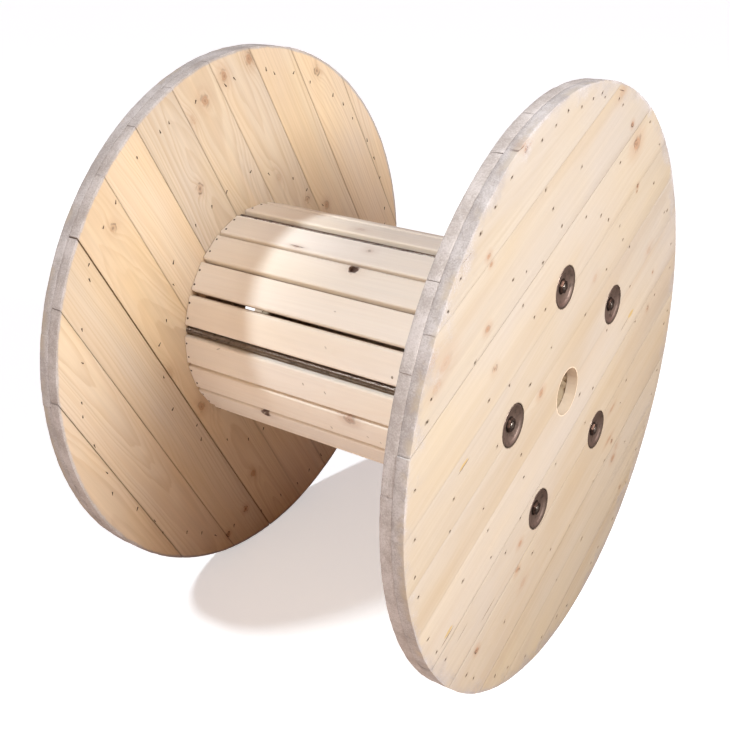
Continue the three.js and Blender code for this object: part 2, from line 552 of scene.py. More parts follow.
class Effects:
    """The shader node groups that several finishes share, each built once.

    A board's patterns are stretched: their three numbers are how often they repeat in a metre of its
    thickness, length and width.
    """

    made: dict[str, Tree] = {}
    wander: Stretch = (5.0, 1.5, 5.0)  # how the pith strays
    ripple: Stretch = (45.0, 6.0, 45.0)
    fibres: Stretch = (150.0, 3.2, 150.0)
    blush: Stretch = (14.0, 1.3, 14.0)
    clouds: Stretch = (7.0, 3.0, 7.0)
    knot_edge: Stretch = (0.0, 160.0, 160.0)
    knot_bark: Stretch = (0.0, 75.0, 75.0)
    torn_edge: Stretch = (0.0, 90.0, 260.0)
    splinters: Stretch = (420.0,) * 3
    blotches: Stretch = (22.0,) * 3
    smears: Stretch = (12.0,) * 3
    chips: Stretch = (13.0,) * 3
    shade_edge: Stretch = (300.0,) * 3
    rust_clouds: Stretch = (70.0,) * 3
    rust_specks: Stretch = (650.0,) * 3
    grime_patches: Stretch = (120.0, 90.0, 120.0)

    @classmethod
    def get(cls, name: str) -> Tree:
        """The group of this name, built on its first use."""
        if name not in cls.made:
            cls.made[name] = getattr(cls, name)()
        return cls.made[name]

    @staticmethod
    def pine_grain() -> Tree:
        """Growth rings round a leaning pith, fibres along the board and slow changes of tone.

        The board's length runs along Y, its width along Z and its thickness along X.
        """
        patch, given, out = new_effect(
            "pine_grain", ("Color", "Late Wood", "Fibre"),
            {
                "Seed": 0.0, "Pith Across": 0.0, "Pith Depth": 0.05, "Lean": 0.1, "Ring Width": 0.005,
                "Swell": 0.0, "Figure": 0.5, "Streaks": 0.2, "Blush": 0.3, "Mottle": 0.3,
            },
            {"Early": (0.8, 0.6, 0.4), "Late": (0.6, 0.4, 0.2), "Warm": (0.7, 0.5, 0.3)},
        )
        place, seed = given["Vector"], given["Seed"]
        shift = patch.joined(patch.times(seed, 3.7), patch.times(seed, 11.3), seed)
        x, y, z = patch.split(place)
        wander = patch.noise(place, Effects.wander, shift, detail=1.0)
        ripple = patch.noise(place, Effects.ripple, shift, detail=2.0)
        drift = patch.level(wander, 0.09, -0.045)
        across = patch.plus(patch.minus(z, given["Pith Across"]), drift)
        tilt = patch.times(y, given["Lean"])
        depth = patch.minus(patch.minus(x, given["Pith Depth"]), tilt)
        radius = patch.hypot(across, depth)
        radius = patch.plus(radius, given["Swell"])
        radius = patch.plus(radius, patch.level(ripple, 0.007, -0.0035))
        ring = patch.over(radius, given["Ring Width"])
        uneven = patch.add("ShaderNodeTexNoise", noise_dimensions="1D")
        patch.feed(uneven.inputs["W"], patch.level(ring, 0.33, seed))
        uneven.inputs["Scale"].default_value, uneven.inputs["Detail"].default_value = 1.0, 1.0
        ring = patch.level(uneven.outputs[0], 2.2, ring)
        turn = patch.math("FRACT", ring)
        late = patch.times(patch.ease(turn, 0.25, 0.88), patch.fade(turn, 0.9, 1.0))
        year = patch.add("ShaderNodeTexWhiteNoise", noise_dimensions="1D")
        patch.feed(year.inputs["W"], patch.math("FLOOR", ring))
        late = patch.times(late, patch.level(year.outputs[0], 0.6, 0.4))
        fibre = patch.noise(place, Effects.fibres, shift, detail=5.0, roughness=0.62)
        fade = patch.noise(place, Effects.blush, shift, detail=2.0)
        colour = patch.mix(patch.times(late, given["Figure"]), given["Early"], given["Late"])
        colour = patch.mix(patch.times(patch.ease(fade, 0.42, 0.72), given["Blush"]), colour, given["Warm"])
        gain = patch.level(patch.minus(fibre, 0.5), patch.times(given["Streaks"], -2.0), 1.0)
        cloud = patch.noise(place, Effects.clouds, shift, detail=3.0, roughness=0.6)
        red, blue = (
            patch.level(patch.minus(cloud, 0.5), patch.times(given["Mottle"], pull), gain)
            for pull in (0.35, -1.0)
        )
        colour = patch.mix(1.0, colour, patch.joined(red, gain, blue), blend="MULTIPLY")
        patch.fill(out, {"Color": colour, "Late Wood": late, "Fibre": fibre})
        return patch.tree

    @staticmethod
    def knot() -> Tree:
        """One knot, added to the knots that come in: how it swells the rings, browns and darkens."""
        patch, given, out = new_effect(
            "knot", ("Swell", "Brown", "Dark"),
            {
                "Along": 0.0, "Across": 0.0, "Size": 0.01, "Stretch": 1.3, "Brownness": 0.7, "Darkness": 0.5,
                "Swell": 0.0, "Brown": 0.0, "Dark": 0.0,
            },
        )
        _, y, z = patch.split(given["Vector"])
        size = given["Size"]
        along = patch.over(patch.minus(y, given["Along"]), patch.times(size, given["Stretch"]))
        across = patch.over(patch.minus(z, given["Across"]), size)
        rough = patch.noise(given["Vector"], Effects.knot_edge, detail=2.0)
        away = patch.hypot(along, across)
        away = patch.plus(away, patch.level(rough, 0.7, -0.35))
        inside = patch.fade(away, 0.7, 1.15)
        edge = patch.times(patch.ease(away, 0.55, 1.0), patch.fade(away, 1.0, 1.35))
        broken = patch.noise(given["Vector"], Effects.knot_bark, detail=1.0)
        edge = patch.times(edge, patch.ease(broken, 0.38, 0.62))
        halo = patch.ease(away, 0.9, 3.2, start=0.32, end=0.0)
        reach = patch.plus(
            patch.math("POWER", patch.over(along, 3.0), 2.0),
            patch.math("POWER", patch.over(across, 1.9), 2.0),
        )
        bulge = patch.times(patch.math("EXPONENT", patch.times(reach, -1.0)), size)
        rings = patch.level(patch.math("SINE", patch.times(away, 14.0)), 0.16, 0.8)
        brown = patch.most(patch.times(inside, rings), halo)
        brown = patch.times(brown, given["Brownness"])
        core = patch.ease(away, 0.05, 0.6, start=0.75, end=0.0)
        dark = patch.times(patch.most(edge, core), given["Darkness"])
        result = {
            "Swell": patch.level(bulge, 1.1, given["Swell"]), "Brown": patch.most(brown, given["Brown"]),
            "Dark": patch.most(dark, given["Dark"]),
        }
        patch.fill(out, result)
        return patch.tree

    @staticmethod
    def long_mark() -> Tree:
        """One crack or resin pocket: a ragged ellipse at an angle, added to those that come in."""
        patch, given, out = new_effect(
            "long_mark", ("Mask",),
            {
                "Along": 0.0, "Across": 0.0, "Length": 0.02, "Width": 0.004, "Turn": 0.0, "Strength": 1.0,
                "Mask": 0.0,
            },
        )
        rotate = patch.add("ShaderNodeVectorRotate", rotation_type="X_AXIS")
        patch.feed(rotate.inputs["Vector"], given["Vector"])
        patch.feed(rotate.inputs["Center"], patch.joined(0.0, given["Along"], given["Across"]))
        patch.feed(rotate.inputs["Angle"], patch.times(given["Turn"], -1.0))
        _, y, z = patch.split(rotate.outputs[0])
        rough = patch.noise(given["Vector"], Effects.torn_edge, detail=3.0)
        along = patch.over(patch.minus(y, given["Along"]), given["Length"])
        across = patch.over(patch.minus(z, given["Across"]), given["Width"])
        across = patch.plus(across, patch.level(rough, 1.4, -0.7))
        away = patch.plus(patch.math("POWER", along, 2.0), patch.math("POWER", across, 2.0))
        mask = patch.times(patch.fade(away, 0.35, 1.0), given["Strength"])
        patch.feed(out["Mask"], patch.most(mask, given["Mask"]))
        return patch.tree

    @staticmethod
    def grey_rim() -> Tree:
        """Where a flange's rim is bruised and grey: its edge, and ragged smears on the flat faces near it.
        Its blotch also carries painted shade, darker towards the bottom.
        """
        patch, given, out = new_effect(
            "grey_rim", ("Grey", "Fuzz", "Blotch", "Radius"),
            {"Axis Height": AXIS_HEIGHT, "Inner Radius": 0.4925, "Outer Radius": 0.4965},
        )
        x, y, z = patch.split(given["Vector"])
        up = patch.minus(z, given["Axis Height"])
        radius = patch.hypot(y, up)
        fuzz = patch.noise(given["Vector"], Effects.splinters, detail=5.0, roughness=0.7)
        blotch = patch.noise(given["Vector"], Effects.blotches, detail=4.0, roughness=0.65)
        ragged = patch.plus(radius, patch.level(blotch, 0.008, -0.004))
        ragged = patch.plus(ragged, patch.level(fuzz, 0.008, -0.004))
        patchy = patch.noise(given["Vector"], Effects.smears, detail=5.0, roughness=0.7)
        smeared = patch.plus(radius, patch.level(patchy, 0.16, -0.08))
        smear = patch.times(patch.ease(smeared, 0.470, 0.502), patch.ease(fuzz, 0.34, 0.58, end=0.9))
        out_x = patch.absolute(x)
        smear = patch.times(smear, patch.ease(out_x, INNER_FACE + 2 * MM, INNER_FACE + 9 * MM))
        grey = patch.most(patch.ease(ragged, given["Inner Radius"], given["Outer Radius"]), smear)
        chipped = patch.noise(given["Vector"], Effects.chips, (7.0, 3.0, 5.0), detail=6.0, roughness=0.7)
        outward = patch.ease(out_x, OUTER_FACE - 16 * MM, OUTER_FACE - 3 * MM)
        clean = patch.times(outward, patch.ease(chipped, 0.47, 0.60, end=0.8))
        grey = patch.times(grey, patch.minus(1.0, clean))
        # Painted shade: the rim's tint darkens towards the floor.
        low_shade = patch.ease(z, 0.02, 0.24, start=0.22, end=0.0)
        blotch = patch.minus(blotch, low_shade)
        patch.fill(out, {"Grey": grey, "Radius": radius, "Fuzz": fuzz, "Blotch": blotch})
        return patch.tree

    @staticmethod
    def near_rods() -> Tree:
        """Whether a place in an outer layer or a washer is near a tie rod's axis, with a ragged edge."""
        patch, given, out = new_effect(
            "near_rods", ("Mask",),
            {
                "Axis Height": AXIS_HEIGHT, "Circle": ROD_CIRCLE, "First Angle": ROD_ANGLES[0],
                "Reach": 34.6 * MM, "Fade": 1.6 * MM,
            },
        )
        fifth = 2 * math.pi / len(ROD_ANGLES)
        x, y, z = patch.split(given["Vector"])
        up = patch.minus(z, given["Axis Height"])
        radius = patch.hypot(y, up)
        angle = patch.minus(patch.math("ARCTAN2", up, y), given["First Angle"])
        angle = patch.math("WRAP", angle, fifth / 2, -fifth / 2)
        along = patch.minus(patch.times(radius, patch.math("COSINE", angle)), given["Circle"])
        aside = patch.times(radius, patch.math("SINE", angle))
        apart = patch.hypot(along, aside)
        ragged = patch.noise(given["Vector"], Effects.shade_edge, detail=3.0, roughness=0.6)
        apart = patch.plus(apart, patch.level(ragged, 0.003, -0.0015))
        far = patch.plus(given["Reach"], given["Fade"])
        outside = patch.ease(patch.absolute(x), LAYER_JOINT, LAYER_JOINT + MM)
        patch.feed(out["Mask"], patch.times(outside, patch.fade(apart, given["Reach"], far)))
        return patch.tree

    @staticmethod
    def worn_steel() -> Tree:
        """Dull steel with rust, grime in patches and fine scratches."""
        patch, given, out = new_effect(
            "worn_steel", ("Color", "Roughness", "Height", "Bare"),
            {"Rustiness": 0.5, "Dirtiness": 0.7, "Dullness": 0.35},
            {"Metal": (0.2, 0.18, 0.16), "Rust": (0.12, 0.06, 0.03), "Grime": (0.03, 0.025, 0.02)},
        )
        cloud = patch.noise(given["Vector"], Effects.rust_clouds, detail=5.0, roughness=0.65)
        speck = patch.noise(given["Vector"], Effects.rust_specks, detail=3.0, roughness=0.6)
        rusted = patch.ease(patch.level(speck, 0.3, cloud), patch.minus(1.05, given["Rustiness"]), 0.95)
        dirty = patch.ease(patch.noise(given["Vector"], Effects.grime_patches, detail=4.0), 0.5, 0.72)
        colour = patch.mix(patch.times(rusted, 0.85), given["Metal"], given["Rust"])
        colour = patch.mix(patch.times(dirty, given["Dirtiness"]), colour, given["Grime"])
        rough = patch.plus(given["Dullness"], patch.times(rusted, 0.3))
        rough = patch.plus(rough, patch.level(speck, 0.16, -0.06), clamp=True)
        height, bare = patch.level(rusted, 0.5, speck), patch.minus(1.0, rusted)
        patch.fill(out, {"Color": colour, "Roughness": rough, "Height": height, "Bare": bare})
        return patch.tree


# ------------------------------------------------------------------ finishes


class Blemish(Enum):
    """A mark in a board. A knot's numbers are its stretch along the board, brownness and darkness."""

    LIVE_KNOT = (1.35, 0.75, 0.30)
    DEAD_KNOT = (1.15, 0.85, 0.95)
    RING_KNOT = (1.20, 0.45, 0.60)
    FAINT_KNOT = (1.60, 0.35, 0.08)
    STREAK = (3.20, 0.60, 0.25)
    RESIN = ()
    CRACK = (1,)
    BRUISE = (2,)


@dataclass(frozen=True)
class Mark:
    """A knot, crack, resin pocket or nail bruise on a board's face.

    Args:
        kind: What it is.
        at: Its place: (y, z) from the axis on a flange, (along, across) on a board.
        size: A knot's radius, or half the width of a long mark.
        length: Half the length of a long mark.
        turn: A long mark's direction, in radians from the same axis as its place.
        strength: How strongly a long mark shows.
    """

    kind: Blemish
    at: Place
    size: float
    length: float = 0.0
    turn: float = 0.0
    strength: float = 1.0


@dataclass(frozen=True)
class BoardFrame:
    """A board's own coordinates: its length along Y, its width along Z and its thickness along X."""

    origin: Vector
    turn: Euler

    def lay(self, patch: Patch) -> Output:
        """Adds the nodes that give a point's place on the board.

        Args:
            patch: The material's patch.

        Returns:
            The vector in the board's coordinates.
        """
        source = patch.add("ShaderNodeTexCoord")
        node = patch.add("ShaderNodeMapping", vector_type="POINT")
        patch.feed(node.inputs["Vector"], source.outputs["Object"])
        node.inputs["Rotation"].default_value = self.turn
        node.inputs["Location"].default_value = -(self.turn.to_matrix() @ self.origin)
        return node.outputs[0]


@dataclass(frozen=True)
class Grain:
    """How one board was sawn from its log, and how it differs from its neighbours."""

    seed: float
    pith_across: float
    pith_depth: float
    lean: float
    tone: float = 1.0
    warmth_and_shade: float = 0.0

    @staticmethod
    def drawn(rng: random.Random, tone: float = 1.0, warmth_and_shade: float = 0.0) -> Grain:
        """A random board's grain: two boards in three are sawn beside the pith.

        Args:
            rng: The random draws.
            tone: How light the board is: its own tone, with any painted light and shade given for it.
            warmth_and_shade: How warm its colour is, with any painted warm shade given for it.

        Returns:
            The grain.
        """
        flat_sawn = rng.random() < 0.65
        return Grain(
            seed=rng.uniform(0.0, 90.0),
            pith_across=(
                rng.uniform(-0.02, 0.02) if flat_sawn else rng.choice((-1, 1)) * rng.uniform(0.06, 0.12)
            ),
            pith_depth=rng.choice((-1, 1)) * rng.uniform(0.035, 0.075),
            lean=rng.choice((-1, 1)) * rng.uniform(0.02, 0.07), tone=tone * rng.uniform(0.975, 1.02),
            warmth_and_shade=warmth_and_shade + rng.uniform(-0.1, 0.1),
        )


@dataclass(frozen=True)
class PineFinish:
    """Bare pine or spruce board, unfinished and dry."""

    name: str
    early: Colour
    late: Colour
    warm: Colour
    knot_brown: Colour = (0.36, 0.17, 0.08)
    knot_dark: Colour = (0.055, 0.026, 0.016)
    resin: Colour = (0.50, 0.34, 0.12)
    crack: Colour = (0.10, 0.055, 0.032)
    bruise: Colour = (0.17, 0.125, 0.08)
    rim_light: Colour = (0.55, 0.515, 0.51)
    rim_dark: Colour = (0.34, 0.305, 0.295)
    figure: float = 0.5
    streaks: float = 0.22
    blush: float = 0.5
    ring_width: float = 0.0055
    mottle: float = 0.3
    relief: float = 0.35
    relief_depth: float = 0.6 * MM
    # Painted shade along a board's long edges, and on a slat only deep in the gaps between slats, in a warm
    # dark colour.
    seam: Colour = (0.10, 0.055, 0.032)
    seam_shade: float = 0.22
    seam_reach: float = 3.5 * MM
    seam_depth: float = 0.0  # how far below the outer face the shaded part of an edge begins
    # The bore's wall: bare wood, lightened as painted light in the outer layer, darkened as painted shade
    # where it lies recessed in the inner layer.
    bore_wall_light_and_shade: Colour = (0.62, 0.48, 0.35)
    bore_reach: float = 40.9 * MM
    bore_fade: float = 1.2 * MM
    # Painted shade on the walls of the washers' pockets and a thin ring of the face round them.
    pocket_shade: Colour = (0.075, 0.045, 0.03)  # the walls of the washers' pockets
    greys: bool = True  # whether it has a weathered rim
    gloss: float = 0.25

    def knots(self, patch: Patch, board: Signal, marks: Sequence[Mark]) -> dict[str, Signal]:
        """Chains one knot group for each knot.

        Args:
            patch: The material's patch.
            board: The place on the board.
            marks: The board's marks.

        Returns:
            The Swell, Brown and Dark signals.
        """
        signals: dict[str, Signal] = {"Swell": 0.0, "Brown": 0.0, "Dark": 0.0}
        for mark in marks:
            if len(mark.kind.value) != 3:
                continue
            stretch, brown, dark = mark.kind.value
            node = patch.effect(
                Effects.get("knot"), Vector=board, Along=mark.at[0], Across=mark.at[1], Size=mark.size,
                Stretch=stretch, Brownness=brown, Darkness=dark, **signals,
            )
            signals = {key: node.outputs[key] for key in signals}
        return signals

    def long_marks(self, patch: Patch, board: Signal, marks: Sequence[Mark], kind: Blemish) -> Signal:
        """The mask of all the board's long marks of one kind.

        Args:
            patch: The material's patch.
            board: The place on the board.
            marks: The board's marks.
            kind: Which of them are taken.

        Returns:
            The mask.
        """
        mask: Signal = 0.0
        for mark in marks:
            if mark.kind is kind:
                node = patch.effect(
                    Effects.get("long_mark"), Vector=board, Along=mark.at[0], Across=mark.at[1],
                    Length=mark.length, Width=mark.size, Turn=mark.turn, Strength=mark.strength, Mask=mask,
                )
                mask = node.outputs[0]
        return mask

    def dress(
        self, piece: Piece, board_frame: BoardFrame, grain: Grain, half_width: float,
        marks: Sequence[Mark] = (),
    ) -> None:
        """Gives a board its material.

        Args:
            piece: The board.
            board_frame: Its own coordinates.
            grain: How it was sawn.
            half_width: Half its width.
            marks: Its knots, cracks, resin pockets and nail bruises.
        """
        patch, surface = new_material(f"{self.name}_{piece.name}", piece)
        board = board_frame.lay(patch)
        knots = self.knots(patch, board, marks)
        resin = self.long_marks(patch, board, marks, Blemish.RESIN)
        crack = self.long_marks(patch, board, marks, Blemish.CRACK)
        bruise = self.long_marks(patch, board, marks, Blemish.BRUISE)
        shade = tuple(
            grain.tone * level for level in (1.0, 1.0 - 0.05 * grain.warmth_and_shade, 1.0 - 0.16 * grain.warmth_and_shade)
        )
        early, late, warm = (
            tuple(part * level for part, level in zip(colour, shade))
            for colour in (self.early, self.late, self.warm)
        )
        wood = patch.effect(
            Effects.get("pine_grain"), Vector=board, Seed=grain.seed, Pith_Across=grain.pith_across,
            Pith_Depth=grain.pith_depth, Lean=grain.lean, Ring_Width=self.ring_width, Swell=knots["Swell"],
            Early=early, Late=late, Warm=warm, Figure=self.figure, Streaks=self.streaks, Blush=self.blush,
            Mottle=self.mottle,
        )
        colour = patch.mix(knots["Brown"], wood.outputs["Color"], self.knot_brown)
        colour = patch.mix(knots["Dark"], colour, self.knot_dark)
        if isinstance(resin, Output):
            colour = patch.mix(patch.times(resin, 0.8), colour, self.resin)
        if isinstance(crack, Output):
            colour = patch.mix(patch.times(crack, 0.88), colour, self.crack)
        if isinstance(bruise, Output):
            colour = patch.mix(bruise, colour, self.bruise)
        # Painted shade: the wood darkens near a board's long edges, and on a slat only deep in the gap
        # between slats.
        below, _, across = patch.split(board)
        edge = patch.ease(patch.absolute(across), half_width - self.seam_reach, half_width - 0.3 * MM)
        if self.seam_depth:
            deep = patch.ease(patch.absolute(below), self.seam_depth, 2 * self.seam_depth)
            edge = patch.times(edge, deep)
        colour = patch.mix(patch.times(edge, self.seam_shade), colour, self.seam)
        rough: Signal = patch.level(wood.outputs["Fibre"], 0.25, 0.58)
        height = patch.level(wood.outputs["Late Wood"], 0.25, wood.outputs["Fibre"])
        height = patch.minus(height, patch.times(knots["Dark"], 0.8))
        height = patch.minus(height, patch.times(crack, 1.5))
        if self.greys:
            place = patch.add("ShaderNodeTexCoord").outputs["Object"]
            rim = patch.effect(Effects.get("grey_rim"), Vector=place).outputs
            # The rim's weathered grey, with painted shade towards the bottom.
            tint = patch.ease(patch.plus(rim["Fuzz"], rim["Blotch"]), 0.8, 1.25)
            grime = patch.mix(tint, self.rim_dark, self.rim_light)
            colour = patch.mix(patch.times(rim["Grey"], 0.88), colour, grime)
            # Painted light and shade on the bore's wall: lighter in the outer layer, darker in the recessed
            # inner layer.
            bore_end = self.bore_reach + self.bore_fade
            wall = patch.ease(rim["Radius"], self.bore_reach, bore_end, start=0.8, end=0.0)
            colour = patch.mix(wall, colour, self.bore_wall_light_and_shade)
            # Painted shade on the walls of the washers' pockets.
            pocket_shade = patch.effect(Effects.get("near_rods"), Vector=place)
            colour = patch.mix(patch.times(pocket_shade.outputs["Mask"], 0.85), colour, self.pocket_shade)
            rough = patch.plus(rough, patch.times(rim["Grey"], 0.15), clamp=True)
            height = patch.plus(height, patch.times(patch.times(rim["Grey"], rim["Fuzz"]), 4.0))
        finish = {
            "Base Color": colour, "Roughness": rough, "Specular IOR Level": self.gloss,
            "Normal": patch.bump(height, self.relief, self.relief_depth),
        }
        patch.fill(surface, finish)


@dataclass(frozen=True)
class SteelFinish:
    """Dull steel, handled and stored in the open."""

    name: str
    metal: Colour
    rust: Colour
    # The colour of grime; the washers also use it for their painted shade.
    grime: Colour
    rustiness: float = 0.5
    dirtiness: float = 0.6
    dullness: float = 0.38  # the roughness of its bare metal
    relief: float = 0.3
    metallic: float = 0.85
    shaded_middle: float = 0.0  # painted shade nearer a rod's axis than this
    shaded_rim: float = 0.0  # and further off than this
    relief_depth: float = 0.2 * MM

    def dress(self, *pieces: Piece) -> None:
        """Gives the pieces one shared steel material.

        Args:
            pieces: The pieces, all with their places in their meshes.
        """
        patch, surface = new_material(self.name, *pieces)
        place = patch.add("ShaderNodeTexCoord").outputs["Object"]
        steel = patch.effect(
            Effects.get("worn_steel"), Vector=place, Metal=self.metal, Rust=self.rust, Grime=self.grime,
            Rustiness=self.rustiness, Dirtiness=self.dirtiness, Dullness=self.dullness,
        ).outputs
        colour = steel["Color"]
        # Painted shade: the washer darkens round the nut and at its rim, where shade falls.
        if self.shaded_rim:
            middle, body = (
                patch.effect(Effects.get("near_rods"), Vector=place, Reach=reach).outputs["Mask"]
                for reach in (self.shaded_middle, self.shaded_rim)
            )
            painted_shade = patch.most(middle, patch.minus(1.0, body))
            colour = patch.mix(patch.times(painted_shade, 0.85), colour, self.grime)
        finish = {
            "Base Color": colour, "Roughness": steel["Roughness"],
            "Metallic": patch.times(steel["Bare"], self.metallic),
            "Normal": patch.bump(steel["Height"], self.relief, self.relief_depth),
        }
        patch.fill(surface, finish)


FACE_PINE = PineFinish(
    "face_pine", early=(0.468, 0.404, 0.332), late=(0.400, 0.310, 0.220), warm=(0.425, 0.340, 0.252),
    figure=0.18, streaks=0.07, blush=0.7, mottle=0.32, seam_shade=0.07, bore_wall_light_and_shade=(0.80, 0.65, 0.49),
)
INNER_PINE = PineFinish(
    "inner_pine", early=(0.660, 0.530, 0.385), late=(0.48, 0.325, 0.20), warm=(0.640, 0.480, 0.320),
    figure=0.45, streaks=0.15, blush=0.6, mottle=0.4, bore_wall_light_and_shade=(0.54, 0.42, 0.28), bore_reach=43.5 * MM,
)
SLAT_PINE = PineFinish(
    "slat_pine", early=(0.90, 0.830, 0.735), late=(0.84, 0.72, 0.605), warm=(0.88, 0.780, 0.670),
    knot_brown=(0.42, 0.23, 0.15), crack=(0.07, 0.022, 0.012), figure=0.2, streaks=0.07, blush=0.5,
    mottle=0.12, ring_width=0.004, relief=0.15, seam=(0.30, 0.11, 0.05), seam_shade=0.8, seam_reach=1.5 * MM,
    seam_depth=11.0 * MM, greys=False,
)
RING_PINE = PineFinish(
    "ring_pine", early=(0.62, 0.47, 0.32), late=(0.47, 0.31, 0.18), warm=(0.56, 0.40, 0.26), greys=False,
)
ROD_STEEL = SteelFinish(
    "rod_steel", metal=(0.33, 0.275, 0.235), rust=(0.12, 0.085, 0.068), grime=(0.05, 0.038, 0.03),
    rustiness=0.42, dirtiness=0.7, dullness=0.28,
)
WASHER_STEEL = SteelFinish(
    "washer_steel", metal=(0.68, 0.515, 0.435), rust=(0.10, 0.065, 0.05), grime=(0.05, 0.032, 0.024),
    rustiness=0.26, dirtiness=0.4, dullness=0.44, relief=0.15, metallic=1.0, shaded_middle=12.0 * MM,
    shaded_rim=32.3 * MM,
)
NUT_STEEL = SteelFinish(
    "nut_steel", metal=(0.14, 0.10, 0.085), rust=(0.05, 0.032, 0.025), grime=(0.02, 0.014, 0.011),
    rustiness=0.4, dirtiness=0.6, dullness=0.3,
)
NAIL_STEEL = SteelFinish(
    "nail_steel", metal=(0.10, 0.08, 0.06), rust=(0.085, 0.045, 0.028), grime=(0.02, 0.015, 0.012),
    rustiness=0.7, dullness=0.6,
)


# ------------------------------------------------------------------ flanges


def direction(angle: float) -> tuple[Place, Place]:
    """The (y, z) directions along and across planks that run at an angle."""
    along = (math.cos(angle), math.sin(angle))
    return along, (-along[1], along[0])


def spread(place: Place, angle: float) -> Place:
    """The place along and across planks that run at an angle, for a (y, z) on a flange's face."""
    along, across = direction(angle)
    return place[0] * along[0] + place[1] * along[1], place[0] * across[0] + place[1] * across[1]


def rod_places() -> list[Place]:
    """The (y, z) of the five tie rods from the axis."""
    return [(ROD_CIRCLE * math.cos(angle), ROD_CIRCLE * math.sin(angle)) for angle in ROD_ANGLES]


@dataclass(frozen=True)
class NailRing:
    """Nails driven roughly on a circle of a flange.

    Args:
        radius: The circle's radius.
        count: How many nails are on it.
        stray: How far a nail may stand off the circle.
        slide: How far along it, as a share of the step between two nails.
        clear_of_rods: The least distance from a rod's axis.
        clear_of_bore: The least distance from the drum's axis.
    """

    radius: float
    count: int
    stray: float
    slide: float = 0.38
    clear_of_rods: float = 41 * MM
    clear_of_bore: float = 50 * MM

    def places(self, rng: random.Random) -> list[Place]:
        """The nails' (y, z), none of them in the bore or under a washer.

        Args:
            rng: The random draws.

        Returns:
            The places.
        """
        found = []
        for index in range(self.count):
            angle = 2 * math.pi * (index + rng.uniform(-self.slide, self.slide)) / self.count
            radius = self.radius + rng.uniform(-self.stray, self.stray)
            place = (radius * math.cos(angle), radius * math.sin(angle))
            clear = all(math.dist(place, rod) > self.clear_of_rods for rod in rod_places())
            if clear and radius > self.clear_of_bore:
                found.append(place)
        return found


